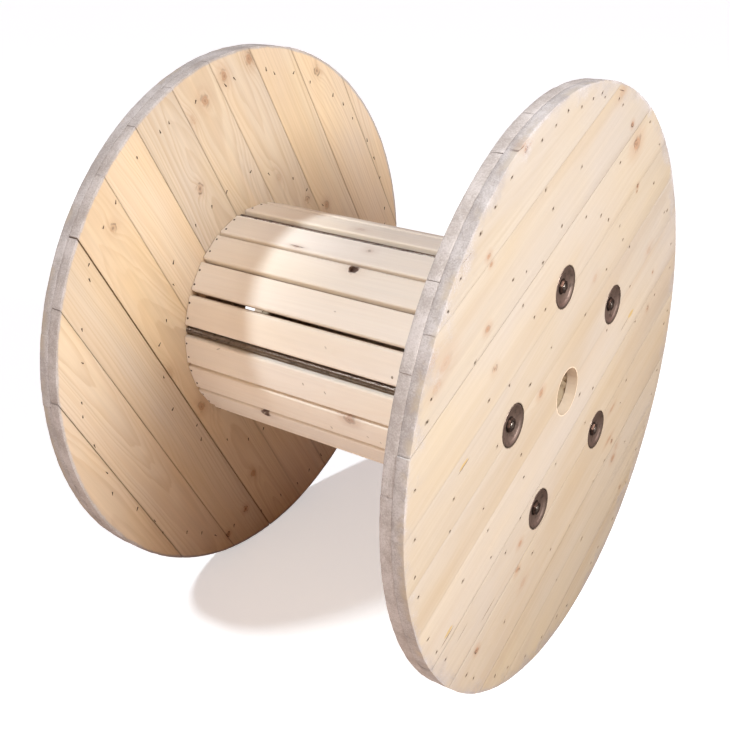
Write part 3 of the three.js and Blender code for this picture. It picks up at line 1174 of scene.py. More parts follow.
@dataclass
class PlankLayer:
    """One of a flange's two layers: planks side by side, sawn to a disc, each its own piece.

    Args:
        name: The layer's name, which its planks' names start with.
        node: The frame's node that the planks stand for.
        side: Which flange it is in.
        span: The distances of its two faces from the drum's middle, the nearer first.
        open_face: The distance of the face that shows.
        angle: How its planks run, in degrees.
        first_seam: The place of one seam across the planks.
        widths: The widths of the planks that follow below that seam; they repeat.
        finish: What the wood looks like.
        seed: What its random draws start from.
        open_seams: By seam number from the top, the gap at the seam's two ends.
        marks: Knots and other marks, placed on the face.
        tones_and_shade: By plank number, how light it is and how warm: its own tone, with painted light and
            shade that follow how the light falls across the face.
        nails: The (y, z) of the nails sunk in its open face.
        tight_gap: The gap of a seam that isn't an open one.
        edge_round: How far its planks' edges are rounded.
        drop: How far a plank may stand below the face.
        rim_sides: How many facets its rim has.
        ragged: How uneven its rim is.
        shrunk: How far a plank may end short of the rim.
        shortest_edge: Corners nearer than this are made one.
        rod_hole: The radius of its holes for the tie rods.
        overshoot: How far its cutters stand past it.
        bore_slack: In the outer layer, how much wider than its size the bore is, and how uneven.
        hidden_bore_slack: The same in the inner layer.
        pocket_slack: How much wider and deeper than its washer a pocket is.
    """

    name: str
    node: str
    side: Side
    span: Place
    open_face: float
    angle: float
    first_seam: float
    widths: tuple[float, ...]
    finish: PineFinish
    seed: int
    open_seams: dict[int, Place] = field(default_factory=dict)
    marks: tuple[Mark, ...] = ()
    tones_and_shade: dict[int, Place] = field(default_factory=dict)
    nails: list[Place] = field(default_factory=list)
    rim_sides: int = 360
    tight_gap: float = 0.5 * MM
    ragged: float = 0.35 * MM
    edge_round: float = 0.7 * MM
    drop: float = 0.6 * MM
    shrunk: float = 1.4 * MM
    shortest_edge: float = 2.0 * MM
    rod_hole: float = 6.5 * MM
    overshoot: float = 10 * MM
    bore_slack: Place = (0.0, 0.4 * MM)
    hidden_bore_slack: Place = (1.4 * MM, 1.3 * MM)
    pocket_slack: float = 1.2 * MM

    def seams(self) -> list[float]:
        """The seams' places across the planks, from the top down."""
        repeat = sum(self.widths)
        place = self.first_seam + repeat * math.ceil((PAST_RIM - self.first_seam) / repeat)
        found, index = [], 0
        while place > -PAST_RIM:
            if place < PAST_RIM:
                found.append(place)
            place -= self.widths[index % len(self.widths)]
            index += 1
        return found

    def disc(self) -> Piece:
        """The whole layer before it is parted: a disc with an uneven rim.

        Returns:
            The blank.
        """
        low, high = sorted(self.side.value * distance for distance in self.span)
        blank = Bench.bar(f"{self.name}_blank", FLANGE_RADIUS, (low, high), sides=self.rim_sides)
        with Bench.edit(blank) as mesh:
            for share in (0.3, 0.7):
                level = (low + share * (high - low), 0.0, 0.0)
                Bench.whole(bpy.ops.mesh.bisect, plane_co=level, plane_no=(1.0, 0.0, 0.0), use_fill=False)
            Bench.roughen(self.ragged, self.seed)
            Bench.flatten(mesh, low, high)
        return blank

    def cutters(self, rng: random.Random) -> list[Piece]:
        """The layer's holes as cutters: the rod holes, and the bore with the washer pockets and nail dimples.

        Args:
            rng: The layer's random draws.

        Returns:
            The cutters; the shapes in one of them stand clear of each other.
        """
        sign = self.side.value
        past = (-self.overshoot, self.overshoot)
        through = tuple(sign * (distance + reach) for distance, reach in zip(self.span, past))
        outermost = self.open_face == OUTER_FACE
        slack, chips = self.bore_slack if outermost else self.hidden_bore_slack
        bore = Bench.bar("bore_cutter", BORE_RADIUS + slack, through, sides=72)
        with Bench.edit(bore, Pick.VERT) as mesh:
            Bench.roughen(chips, self.seed + 1)
            Bench.flatten(mesh, *through)
        rods = [
            Bench.bar(f"rod_cutter_{index}", self.rod_hole, through, place, 24)
            for index, place in enumerate(rod_places())
        ]
        hollows = [bore]
        if outermost:
            for index, place in enumerate(rod_places()):
                pocket = Fittings.dish_solid(
                    f"pocket_{index}", self.side, place, slack=self.pocket_slack, reach=4 * MM, ragged=True
                )
                hollows.append(pocket)
            face = sign * self.open_face
            for index, place in enumerate(self.nails):
                radius = rng.uniform(2.0, 2.6) * MM
                depth = rng.uniform(1.2, 1.6) * MM
                reach = (face - depth * sign, face + MM * sign)
                hollows.append(Bench.bar(f"dimple_{index}", radius, reach, place, 9))
        return [Bench.join("hollows", hollows), Bench.join("rod_holes", rods)]

    def saw(
        self, blank: Piece, index: int, top: float, bottom: float, gaps: tuple[Place, Place],
        rng: random.Random,
    ) -> Piece:
        """Parts one plank off a copy of the disc.

        Args:
            blank: The whole disc.
            index: The plank's number from the top.
            top: The seam above it.
            bottom: The seam below it.
            gaps: The gap at each end of the upper and of the lower seam.
            rng: The layer's random draws.

        Returns:
            The plank, with its edges rounded and no holes yet.
        """
        plank = Bench.copy(blank, f"{self.name}_plank_{index:02d}")
        along, across = (Vector((0.0, *pair)) for pair in direction(math.radians(self.angle)))
        sign = self.side.value
        middle = Vector((0.0, 0.0, AXIS_HEIGHT))
        with Bench.edit(plank) as mesh:
            size = 1.0 - rng.uniform(0.0, self.shrunk) / FLANGE_RADIUS
            Bench.whole(bpy.ops.transform.resize, value=(1.0, size, size), center_override=middle)
            for place, gap, outward in ((top, gaps[0], 1.0), (bottom, gaps[1], -1.0)):
                if abs(place) > PAST_RIM:
                    continue
                ends = [
                    middle + along * reach + across * (place - outward * width / 2)
                    for reach, width in zip((-PAST_RIM, PAST_RIM), gap)
                ]
                normal = (ends[1] - ends[0]).cross(Vector((1.0, 0.0, 0.0))).normalized()
                if normal.dot(across) * outward < 0:
                    normal.negate()
                Bench.whole(
                    bpy.ops.mesh.bisect, plane_co=ends[0], plane_no=normal, use_fill=True, clear_outer=True
                )
            Bench.whole(bpy.ops.mesh.remove_doubles, threshold=self.shortest_edge)
            open_x = sign * self.open_face
            facing = sign if self.open_face == max(self.span) else -sign
            drop = rng.uniform(0.15, 1.0) * self.drop * facing
            Bench.choose(mesh, Pick.VERT, lambda vert: abs(vert.co.x - open_x) < MM)
            bpy.ops.transform.translate(value=(-drop, 0.0, 0.0))
        Bench.ease(plank, self.edge_round, 2, self.round_the_face)
        return plank

    @staticmethod
    def round_the_face(edge: Any) -> bool:
        """Whether an edge is a sharp one of a plank's two large faces."""
        return Bench.sharp(edge) and abs(edge.verts[0].co.x - edge.verts[1].co.x) < MM

    def face_frame(self, across: float) -> BoardFrame:
        """The coordinates of the board whose middle lies at a place across the planks.

        Args:
            across: The place.

        Returns:
            The board's coordinates.
        """
        angle = math.radians(self.angle)
        _, normal = direction(angle)
        face = self.side.value * self.open_face
        origin = Vector((face, across * normal[0], AXIS_HEIGHT + across * normal[1]))
        return BoardFrame(origin, Euler((-angle, 0.0, 0.0)))

    def marks_on(self, top: float, bottom: float) -> list[Mark]:
        """The layer's marks that lie on one plank, in that board's coordinates.

        Args:
            top: The seam above the plank.
            bottom: The seam below it.

        Returns:
            The marks.
        """
        angle = math.radians(self.angle)
        found = []
        for mark in self.marks:
            along, across = spread(mark.at, angle)
            if bottom - 6 * MM < across < top + 6 * MM:
                at = (along, across - (top + bottom) / 2)
                found.append(Mark(mark.kind, at, mark.size, mark.length, mark.turn - angle))
        return found

    def bruises(self, rng: random.Random, top: float, bottom: float) -> list[Mark]:
        """The dark, torn wood round the nails of one plank, in that board's coordinates.

        Args:
            rng: The layer's random draws.
            top: The seam above the plank.
            bottom: The seam below it.

        Returns:
            The bruises.
        """
        angle, found = math.radians(self.angle), []
        for nail in self.nails:
            along, across = spread(nail, angle)
            if bottom < across < top:
                at = (along + rng.uniform(-1.5, 1.5) * MM, across - (top + bottom) / 2)
                size, length = rng.uniform(2.2, 3.4) * MM, rng.uniform(4.0, 7.5) * MM
                turn, strength = rng.uniform(-0.35, 0.5), rng.uniform(0.15, 0.75)
                found.append(Mark(Blemish.BRUISE, at, size, length, turn, strength))
        return found

    def drawn_marks(self, rng: random.Random, width: float) -> list[Mark]:
        """A few random knots for a board whose marks aren't given.

        Args:
            rng: The layer's random draws.
            width: The board's width.

        Returns:
            The knots.
        """
        kinds = (Blemish.LIVE_KNOT, Blemish.DEAD_KNOT, Blemish.RING_KNOT, Blemish.FAINT_KNOT)
        return [
            Mark(
                rng.choice(kinds), (rng.uniform(-0.42, 0.42), rng.uniform(-0.4, 0.4) * width),
                rng.uniform(3.0, 9.0) * MM,
            )
            for _ in range(rng.choice((0, 1, 2, 2, 3)))
        ]

    def build(self) -> None:
        """Builds, dresses and fits the layer's planks."""
        rng = random.Random(self.seed)
        blank = self.disc()
        cutters = self.cutters(rng)
        seams = self.seams()
        edges = [PAST_RIM + 20 * MM, *seams, -PAST_RIM - 20 * MM]
        tight = (self.tight_gap, self.tight_gap)
        for index, (top, bottom) in enumerate(zip(edges, edges[1:]), start=1):
            gaps = (self.open_seams.get(index - 1, tight), self.open_seams.get(index, tight))
            plank = self.saw(blank, index, top, bottom, gaps, rng)
            for cutter in cutters:
                Bench.cut(plank, cutter)
            Bench.smooth(plank)
            marks = self.marks_on(top, bottom) if self.marks else self.drawn_marks(rng, top - bottom)
            marks = [*marks, *self.bruises(rng, top, bottom)]
            # A plank's tone and warmth: its own, with the painted light and shade that the layer gives it.
            tone, warmth_and_shade = self.tones_and_shade.get(index, (1.0, 0.0))
            grain = Grain.drawn(rng, tone, warmth_and_shade)
            self.finish.dress(plank, self.face_frame((top + bottom) / 2), grain, (top - bottom) / 2, marks)
            Bench.fit(plank, "flange_wood", self.node)
        Bench.scrap(blank, *cutters)


# ------------------------------------------------------------------ nails


@dataclass
class NailHeads:
    """Nail heads driven just below a face, all one piece.

    Args:
        name: The piece's name.
        side: Which end of the drum.
        places: Their (y, z) from the axis.
        seed: What their depths are drawn from.
    """

    name: str
    side: Side
    places: Sequence[Place]
    seed: int
    radius: float = 1.9 * MM
    height: float = 1.5 * MM
    edge_round: float = 0.3 * MM

    def build(self) -> None:
        """Builds, dresses and fits the heads."""
        rng, sign = random.Random(self.seed), self.side.value
        heads = []
        for index, place in enumerate(self.places):
            sunk = OUTER_FACE - rng.uniform(0.7, 1.1) * MM
            span = (sign * (sunk - self.height), sign * sunk)
            heads.append(Bench.bar(f"head_{index}", self.radius, span, place, 9))
        whole = Bench.join(self.name, heads)
        Bench.ease(whole, self.edge_round, 1)
        Bench.smooth(whole)
        NAIL_STEEL.dress(whole)
        Bench.fit(whole, "nut_steel")


@dataclass
class ClenchedNails:
    """Nail points that come through a flange's inner face and are hammered over, all one piece."""

    name: str
    side: Side
    places: Sequence[Place]
    seed: int
    radius: float = 1.1 * MM
    tip: float = 0.35 * MM
    slope: float = 0.06  # how far a point leans out of the wood, in radians

    def build(self) -> None:
        """Builds, dresses and fits the points."""
        rng, sign = random.Random(self.seed), self.side.value
        points = []
        for place in self.places:
            length = rng.uniform(4.5, 8.0) * MM
            Bench.clear()
            bpy.ops.mesh.primitive_cone_add(
                vertices=7, radius1=self.radius, radius2=self.tip, depth=length,
                location=(sign * (INNER_FACE - self.tip), place[0], AXIS_HEIGHT + place[1]),
                rotation=(rng.uniform(-0.9, 0.9) + rng.choice((0.0, math.pi)), sign * self.slope, 0.0),
            )
            point = bpy.context.active_object
            Bench.settle(point)
            points.append(point)
        whole = Bench.join(self.name, points)
        Bench.smooth(whole, 50)
        NAIL_STEEL.dress(whole)
        Bench.fit(whole, "nut_steel")


# ------------------------------------------------------------------ rods, washers and nuts


@dataclass
class Fittings:
    """The dished washers and hexagon nuts at the ends of the tie rods on one flange.

    The bowl of a washer is given as the radius and depth of each of its steps.
    """

    side: Side
    rim: float = 33.0 * MM
    floor: float = 12.5 * MM
    plate: float = 2.0 * MM
    dish_floor: float = 6.2 * MM
    bowl: tuple[Place, ...] = ((27.0 * MM, 3.0 * MM), (19.5 * MM, 5.2 * MM), (11.5 * MM, 6.2 * MM))
    lip: float = 0.3 * MM  # how far the rim lies below the face
    nut_flats: float = 19.0 * MM
    nut_height: float = 4.9 * MM
    hole: float = 6.4 * MM
    edge_round: float = 0.6 * MM
    bowl_round: float = 1.5 * MM
    bowl_bends: Place = (0.14, 0.45)  # the angles between the bowl's steps lie between these, in radians
    pocket_chips: float = 0.45 * MM
    nut_turned: float = 1.1 * MM
    nut_round: float = 0.25 * MM
    drilled: Place = (0.30, 0.36)  # from where to where a bit goes through
    turned_step: float = 0.7  # how far each washer and nut is turned from the one before, in radians

    @staticmethod
    def dish_solid(
        name: str, side: Side, at: Place, slack: float = 0.0, reach: float = -0.3 * MM, ragged: bool = False
    ) -> Piece:
        """The outside shape of a dished washer, filled: the blank of a washer, or the cutter for its pocket.

        Args:
            name: The piece's name.
            side: Which flange.
            at: Its (y, z) from the axis.
            slack: How much wider and deeper than the washer it is.
            reach: How far it stands past the outer face.
            ragged: Whether its rim is uneven, as chipped wood.

        Returns:
            The solid.
        """
        sign, plan = side.value, Fittings(side)
        face = sign * OUTER_FACE
        band = face - sign * (plan.plate + slack)
        solid = Bench.bar(name, plan.rim + slack, (band, face + sign * reach), at, 64)
        middle = (0.0, at[0], AXIS_HEIGHT + at[1])
        with Bench.edit(solid, Pick.FACE) as mesh:
            if ragged:
                Bench.roughen(plan.pocket_chips, seed=int(1000 * abs(at[0] + 3 * at[1])))
                Bench.flatten(mesh, band, face + sign * reach)
            Bench.choose(mesh, Pick.FACE, lambda part: part.normal.x * sign < -0.9)
            bpy.ops.mesh.extrude_region()
            bpy.ops.transform.translate(value=(-sign * plan.dish_floor, 0.0, 0.0))
            share = (plan.floor + slack) / (plan.rim + slack)
            bpy.ops.transform.resize(value=(1.0, share, share), center_override=middle)
        return solid

    def washer(self) -> Piece:
        """One washer on the axis: a filled dish hollowed from its face, then rounded and holed."""
        sign = self.side.value
        washer = self.dish_solid("washer_blank", self.side, (0.0, 0.0))
        middle = (0.0, 0.0, AXIS_HEIGHT)
        with Bench.edit(washer, Pick.FACE) as mesh:
            Bench.choose(mesh, Pick.FACE, lambda part: part.normal.x * sign > 0.9)
            bpy.ops.mesh.inset(thickness=self.plate, depth=0.0)
            reached, sunk = self.rim - self.plate, self.lip
            for radius, depth in self.bowl:
                bpy.ops.mesh.extrude_region()
                bpy.ops.transform.translate(value=(sign * (sunk - depth), 0.0, 0.0))
                share = radius / reached
                bpy.ops.transform.resize(value=(1.0, share, share), center_override=middle)
                reached, sunk = radius, depth
        Bench.ease(washer, self.edge_round, 3)
        Bench.ease(washer, self.bowl_round, 2, self.bowl_edge)
        Bench.drill(washer, self.hole, self.bit_span())
        Bench.smooth(washer, 50)
        return washer

    def bowl_edge(self, edge: Any) -> bool:
        """Whether an edge is a shallow one between two steps of a washer's bowl."""
        low, high = self.bowl_bends
        return len(edge.link_faces) == 2 and low < edge.calc_face_angle(0.0) < high

    def bit_span(self) -> Place:
        """The x of the two ends of a bit that goes through the flange."""
        return self.side.value * self.drilled[0], self.side.value * self.drilled[1]

    def nut(self) -> Piece:
        """One nut on the axis: a hexagonal bar with its corners turned off and its bore countersunk."""
        sign = self.side.value
        corner = self.nut_flats / 2 / math.cos(math.pi / 6)
        inner = OUTER_FACE - self.dish_floor + JOINT_GAP
        span = (sign * inner, sign * (inner + self.nut_height))
        nut = Bench.bar("nut_blank", corner, span, sides=6)
        turning = Bench.bar("turning", corner * 1.01, span, sides=48)
        Bench.ease(turning, self.nut_turned, 3)
        Bench.cut(nut, turning, Cut.KEEP_COMMON)
        Bench.scrap(turning)
        Bench.drill(nut, self.hole - 0.1 * MM, self.bit_span())
        Bench.ease(nut, self.nut_round, 2)
        Bench.smooth(nut)
        return nut

    def build(self) -> None:
        """Builds, dresses and fits five washers and five nuts."""
        name = self.side.name.lower()
        for blank, word, node, finish, slot in (
            (self.washer(), "dish", "dished_washer", WASHER_STEEL, "washer_steel"),
            (self.nut(), "hexagon_nut", "nut", NUT_STEEL, "nut_steel"),
        ):
            made = []
            for index, place in enumerate(rod_places(), start=1):
                piece = Bench.copy(blank, f"{name}_{word}_{index}")
                with Bench.edit(piece):
                    Bench.whole(
                        bpy.ops.transform.rotate, value=self.turned_step * index, orient_axis="X",
                        center_override=(0.0, 0.0, AXIS_HEIGHT),
                    )
                    bpy.ops.transform.translate(value=(0.0, *place))
                Bench.fit(piece, slot, f"{name}_{node}_{index}")
                made.append(piece)
            finish.dress(*made)
            Bench.scrap(blank)


@dataclass
class TieRods:
    """Five rods threaded from end to end."""

    radius: float = 6.0 * MM
    pitch: float = 1.75 * MM
    depth: float = 0.95 * MM
    end: float = OUTER_FACE - 0.5 * MM
    crown: float = 1.5 * MM  # how far each end is rounded up
    crown_steps: tuple[Place, ...] = ((0.8 * MM, 0.62), (1.4 * MM, 0.30))  # inset, share of the crown
    crest: float = 0.16  # the width of the thread's crest as a share of the pitch
    merge: float = 0.01 * MM
    steps: int = 12

    def thread(self) -> Piece:
        """One rod on the axis: a tooth of the thread, screwed along X and cut off at both ends.

        Returns:
            The rod.
        """
        turns = math.ceil(2 * self.end / self.pitch) + 2
        start = -self.end - self.pitch
        Bench.clear()
        bpy.ops.mesh.primitive_plane_add(size=self.pitch, rotation=(math.pi / 2, 0.0, 0.0))
        rod = bpy.context.active_object
        rod.name = rod.data.name = "rod_blank"
        Bench.settle(rod)
        with Bench.edit(rod) as mesh:
            Bench.choose(mesh, Pick.EDGE, lambda edge: all(vert.co.z > 0 for vert in edge.verts))
            bpy.ops.transform.resize(value=(self.crest, 1.0, 1.0), center_override=(0.0, 0.0, 0.0))
            bpy.ops.transform.translate(value=(0.0, 0.0, self.depth - self.pitch))
            Bench.whole(
                bpy.ops.transform.translate, value=(start, 0.0, self.radius - self.depth + self.pitch / 2)
            )
            half_way = self.radius - 0.5 * self.depth
            Bench.choose(mesh, Pick.EDGE, lambda edge: all(vert.co.z < half_way for vert in edge.verts))
            bpy.ops.mesh.delete(type="EDGE")
        tool = rod.modifiers.new("thread", "SCREW")
        tool.axis, tool.angle, tool.screw_offset, tool.iterations = "X", 2 * math.pi, self.pitch, turns
        tool.steps = tool.render_steps = self.steps
        tool.use_merge_vertices, tool.merge_threshold = True, self.merge
        Bench.take(rod)
        bpy.ops.object.modifier_apply(modifier=tool.name)
        with Bench.edit(rod, Pick.VERT):
            Bench.whole(bpy.ops.mesh.remove_doubles, threshold=self.merge)
            for outward in (-1.0, 1.0):
                Bench.whole(
                    bpy.ops.mesh.bisect, plane_co=(outward * (self.end - self.crown), 0.0, 0.0),
                    plane_no=(outward, 0.0, 0.0), use_fill=True, clear_outer=True,
                )
            Bench.whole(bpy.ops.transform.translate, value=(0.0, 0.0, AXIS_HEIGHT))
            bpy.ops.mesh.normals_make_consistent(inside=False)
        with Bench.edit(rod, Pick.FACE) as mesh:
            Bench.choose(
                mesh, Pick.FACE, lambda part: abs(part.normal.x) > 0.99 and part.calc_area() > 20 * MM * MM
            )
            for inward, share in self.crown_steps:
                bpy.ops.mesh.inset(thickness=inward, depth=share * self.crown)
        Bench.smooth(rod, 25)
        return rod

    def build(self) -> None:
        """Builds, dresses and fits the rods."""
        blank = self.thread()
        rods = []
        for index, place in enumerate(rod_places(), start=1):
            rod = Bench.copy(blank, f"threaded_rod_{index}")
            with Bench.edit(rod):
                Bench.whole(bpy.ops.transform.translate, value=(0.0, *place))
            Bench.fit(rod, "rod_steel", f"tie_rod_{index}")
            rods.append(rod)
        ROD_STEEL.dress(*rods)
        Bench.scrap(blank)


# ------------------------------------------------------------------ barrel


@dataclass
class Barrel:
    """Twenty planed slats round the tie rods, each nailed to the support rings at both ends."""

    outer: float = 207.0 * MM
    thickness: float = 20.0 * MM
    length: float = 609.4 * MM
    gaps: tuple[float, ...] = (0.8 * MM, 1.2 * MM, 4.5 * MM)
    rod_gap: float = 14.0 * MM
    edge_round: float = 4.0 * MM
    end_round: float = 0.5 * MM
    sunk: float = 0.7 * MM  # how far a slat may lie below the others
    narrower: float = 0.012  # how much narrower it may be, as a share
    hole_depth: float = 9.0 * MM
    hole_ragged: float = 0.7 * MM
    nail_radius: float = 2.0 * MM
    nail_height: float = 1.4 * MM
    nail_round: float = 0.3 * MM
    nail_row: float = 14.0 * MM  # how far the nails stand from a slat's middle line
    seed: int = 51
    knot_holes: dict[int, tuple[float, float, float, float]] = field(default_factory=dict)
    marks: dict[int, tuple[Mark, ...]] = field(default_factory=dict)

    def gap_angle(self, gap: float) -> float:
        """The angle that a gap between slats takes up at their inner edges."""
        return 2 * math.asin(gap / 2 / (self.outer - self.thickness))

    def turns(self) -> list[float]:
        """The angle of each slat's middle."""
        steps = [self.gap_angle(gap) for gap in (*self.gaps, self.rod_gap)]
        slat = (2 * math.pi / 5 - sum(steps)) / 4
        found = []
        for angle in ROD_ANGLES:
            turn = angle + (steps[-1] + slat) / 2
            for step in steps:
                found.append(turn)
                turn += slat + step
        return found

    def width(self) -> float:
        """A slat's width."""
        steps = [self.gap_angle(gap) for gap in (*self.gaps, self.rod_gap)]
        return 2 * (self.outer - self.thickness) * math.tan((2 * math.pi / 5 - sum(steps)) / 8)

    def long_outer(self, edge: Any) -> bool:
        """Whether an edge of the blank runs along a slat at its outer face."""
        ends = [vert.co for vert in edge.verts]
        return abs(ends[0].x - ends[1].x) > 0.1 and all(end.y > self.outer - MM for end in ends)

    def blank(self) -> Piece:
        """One planed slat with its outer face at +Y of the axis."""
        Bench.clear()
        bpy.ops.mesh.primitive_cube_add(
            size=1.0, location=(0.0, self.outer - self.thickness / 2, AXIS_HEIGHT),
            scale=(self.length, self.thickness, self.width()),
        )
        slat = bpy.context.active_object
        slat.name = slat.data.name = "slat_blank"
        Bench.settle(slat)
        Bench.ease(slat, self.edge_round, 6, self.long_outer)
        Bench.ease(slat, self.end_round, 1)
        return slat

    @staticmethod
    def round_axis(radius: float, turn: float, x: float = 0.0, across: float = 0.0) -> Vector:
        """A place at a radius and an angle round the drum's axis.

        Args:
            radius: The distance of the slat's face there.
            turn: The slat's angle.
            x: The place along the drum.
            across: The place across the slat.

        Returns:
            The place.
        """
        y, z = math.cos(turn), math.sin(turn)
        return Vector((x, radius * y - across * z, AXIS_HEIGHT + radius * z + across * y))

    def knot_hole(self, slat: Piece, turn: float, hole: tuple[float, float, float, float]) -> None:
        """Cuts the hole that a lost knot left.

        Args:
            slat: The slat.
            turn: Its angle.
            hole: The hole's x, its place across the slat, and its half length and half width.
        """
        x, across, long, wide = hole
        Bench.clear()
        bpy.ops.mesh.primitive_ico_sphere_add(
            subdivisions=3, radius=1.0, location=(0.0, 0.0, 0.0), scale=(long, self.hole_depth, wide)
        )
        cutter = bpy.context.active_object
        Bench.settle(cutter)
        with Bench.edit(cutter, Pick.VERT):
            Bench.roughen(self.hole_ragged, seed=4)
        cutter.rotation_euler = (turn, 0.0, 0.0)
        cutter.location = self.round_axis(self.outer, turn, x, across)
        Bench.settle(cutter)
        Bench.cut(slat, cutter)
        Bench.scrap(cutter)

    def build(self) -> None:
        """Builds, dresses and fits the slats and their nails."""
        rng = random.Random(self.seed)
        blank = self.blank()
        heads = []
        for index, turn in enumerate(self.turns(), start=1):
            slat = Bench.copy(blank, f"planed_slat_{index:02d}")
            slat.location = (0.0, 0.0, -AXIS_HEIGHT)
            Bench.settle(slat)
            slat.rotation_euler = (turn, 0.0, 0.0)
            slat.location = self.round_axis(-rng.uniform(0.0, self.sunk), turn)
            slat.scale = (1.0, 1.0, 1.0 - rng.uniform(0.0, self.narrower))
            Bench.settle(slat)
            if index in self.knot_holes:
                self.knot_hole(slat, turn, self.knot_holes[index])
            Bench.smooth(slat)
            board = BoardFrame(self.round_axis(self.outer, turn), Euler((-turn, 0.0, math.pi / 2)))
            marks = self.marks.get(index) or self.drawn_marks(rng)
            SLAT_PINE.dress(slat, board, Grain.drawn(rng), self.width() / 2, marks)
            Bench.fit(slat, "slat_wood", f"barrel_slat_{index:02d}")
            heads += self.nails(turn, rng)
        whole = Bench.join("slat_nails", heads)
        Bench.smooth(whole)
        NAIL_STEEL.dress(whole)
        Bench.fit(whole, "nut_steel")
        Bench.scrap(blank)

    @staticmethod
    def drawn_marks(rng: random.Random) -> tuple[Mark, ...]:
        """Up to two random small knots for a slat whose marks aren't given.

        Args:
            rng: The barrel's random draws.

        Returns:
            The knots.
        """
        kinds = (Blemish.FAINT_KNOT, Blemish.LIVE_KNOT)
        return tuple(
            Mark(
                rng.choice(kinds), (rng.uniform(-0.28, 0.28), rng.uniform(-0.02, 0.02)),
                rng.uniform(1.5, 4.0) * MM,
            )
            for _ in range(rng.choice((0, 1, 2)))
        )

    def nails(self, turn: float, rng: random.Random) -> list[Piece]:
        """Two nail heads at each end of a slat, driven to its face.

        Args:
            turn: The slat's angle.
            rng: The barrel's random draws.

        Returns:
            The heads.
        """
        heads = []
        for sign in (-1, 1):
            for row in (-self.nail_row, self.nail_row):
                across = row + rng.uniform(-4.0, 4.0) * MM
                x = sign * (self.length / 2 - rng.uniform(3.0, 7.0) * MM)
                Bench.clear()
                bpy.ops.mesh.primitive_cylinder_add(
                    vertices=10, radius=self.nail_radius, depth=self.nail_height,
                    location=self.round_axis(self.outer - self.nail_height / 2, turn, x, across),
                    rotation=(turn - math.pi / 2, 0.0, 0.0),
                )
                head = bpy.context.active_object
                Bench.settle(head)
                Bench.ease(head, self.nail_round, 1)
                heads.append(head)
        return heads


@dataclass
class SupportRing:
    """The ring of boards inside the barrel at one end, which the slats are nailed to."""

    side: Side
    radius: float = 186.7 * MM
    hole: float = 136.7 * MM
    thickness: float = 20.0 * MM
    edge_round: float = 1.0 * MM
    bored: Place = (0.2, 0.4)  # from where to where the cutter of its hole reaches

    def build(self) -> None:
        """Builds, dresses and fits the ring."""
        sign, name = self.side.value, f"{self.side.name.lower()}_ring_boards"
        far = INNER_FACE - JOINT_GAP
        span = (sign * (far - self.thickness), sign * far)
        ring = Bench.bar(name, self.radius, span, sides=120)
        Bench.drill(ring, self.hole, (sign * self.bored[0], sign * self.bored[1]), sides=96)
        Bench.ease(ring, self.edge_round, 2)
        Bench.smooth(ring)
        board = BoardFrame(Vector((span[0], 0.0, AXIS_HEIGHT)), Euler((0.4 * sign, 0.0, 0.0)))
        RING_PINE.dress(ring, board, Grain.drawn(random.Random(60 + sign)), 1.0)
        Bench.fit(ring, "support_wood", f"{self.side.name.lower()}_support_ring")


# ------------------------------------------------------------------ studio


@dataclass(frozen=True)
class SoftBox:
    """A large soft lamp.

    Args:
        name: Its name.
        at: Where it stands.
        aim: What it points at.
        size: Its width and height.
        power: Its power in watts.
        colour: Its colour.
    """

    name: str
    at: tuple[float, float, float]
    aim: tuple[float, float, float]
    size: Place
    power: float
    colour: Colour = (1.0, 1.0, 1.0)

    def hang(self) -> None:
        """Adds the lamp."""
        lamp = bpy.data.lights.new(self.name, "AREA")
        lamp.shape, lamp.size, lamp.size_y = "RECTANGLE", *self.size
        lamp.energy, lamp.color = self.power, self.colour
        holder = bpy.data.objects.new(self.name, lamp)
        holder.location = self.at
        holder.rotation_euler = (Vector(self.aim) - Vector(self.at)).to_track_quat("-Z", "Y").to_euler()
        bpy.context.scene.collection.objects.link(holder)


@dataclass(frozen=True)
class Daylight:
    """A distant lamp that lights everything evenly.

    Args:
        name: Its name.
        toward: The direction that its light comes from.
        spread: How wide it looks, in degrees.
        strength: Its strength.
        colour: Its colour.
    """

    name: str
    toward: tuple[float, float, float]
    spread: float
    strength: float
    colour: Colour

    def hang(self) -> None:
        """Adds the lamp."""
        lamp = bpy.data.lights.new(self.name, "SUN")
        lamp.energy, lamp.color, lamp.angle = self.strength, self.colour, math.radians(self.spread)
        holder = bpy.data.objects.new(self.name, lamp)
        holder.location = self.toward
        holder.rotation_euler = Vector(self.toward).to_track_quat("Z", "Y").to_euler()
        bpy.context.scene.collection.objects.link(holder)


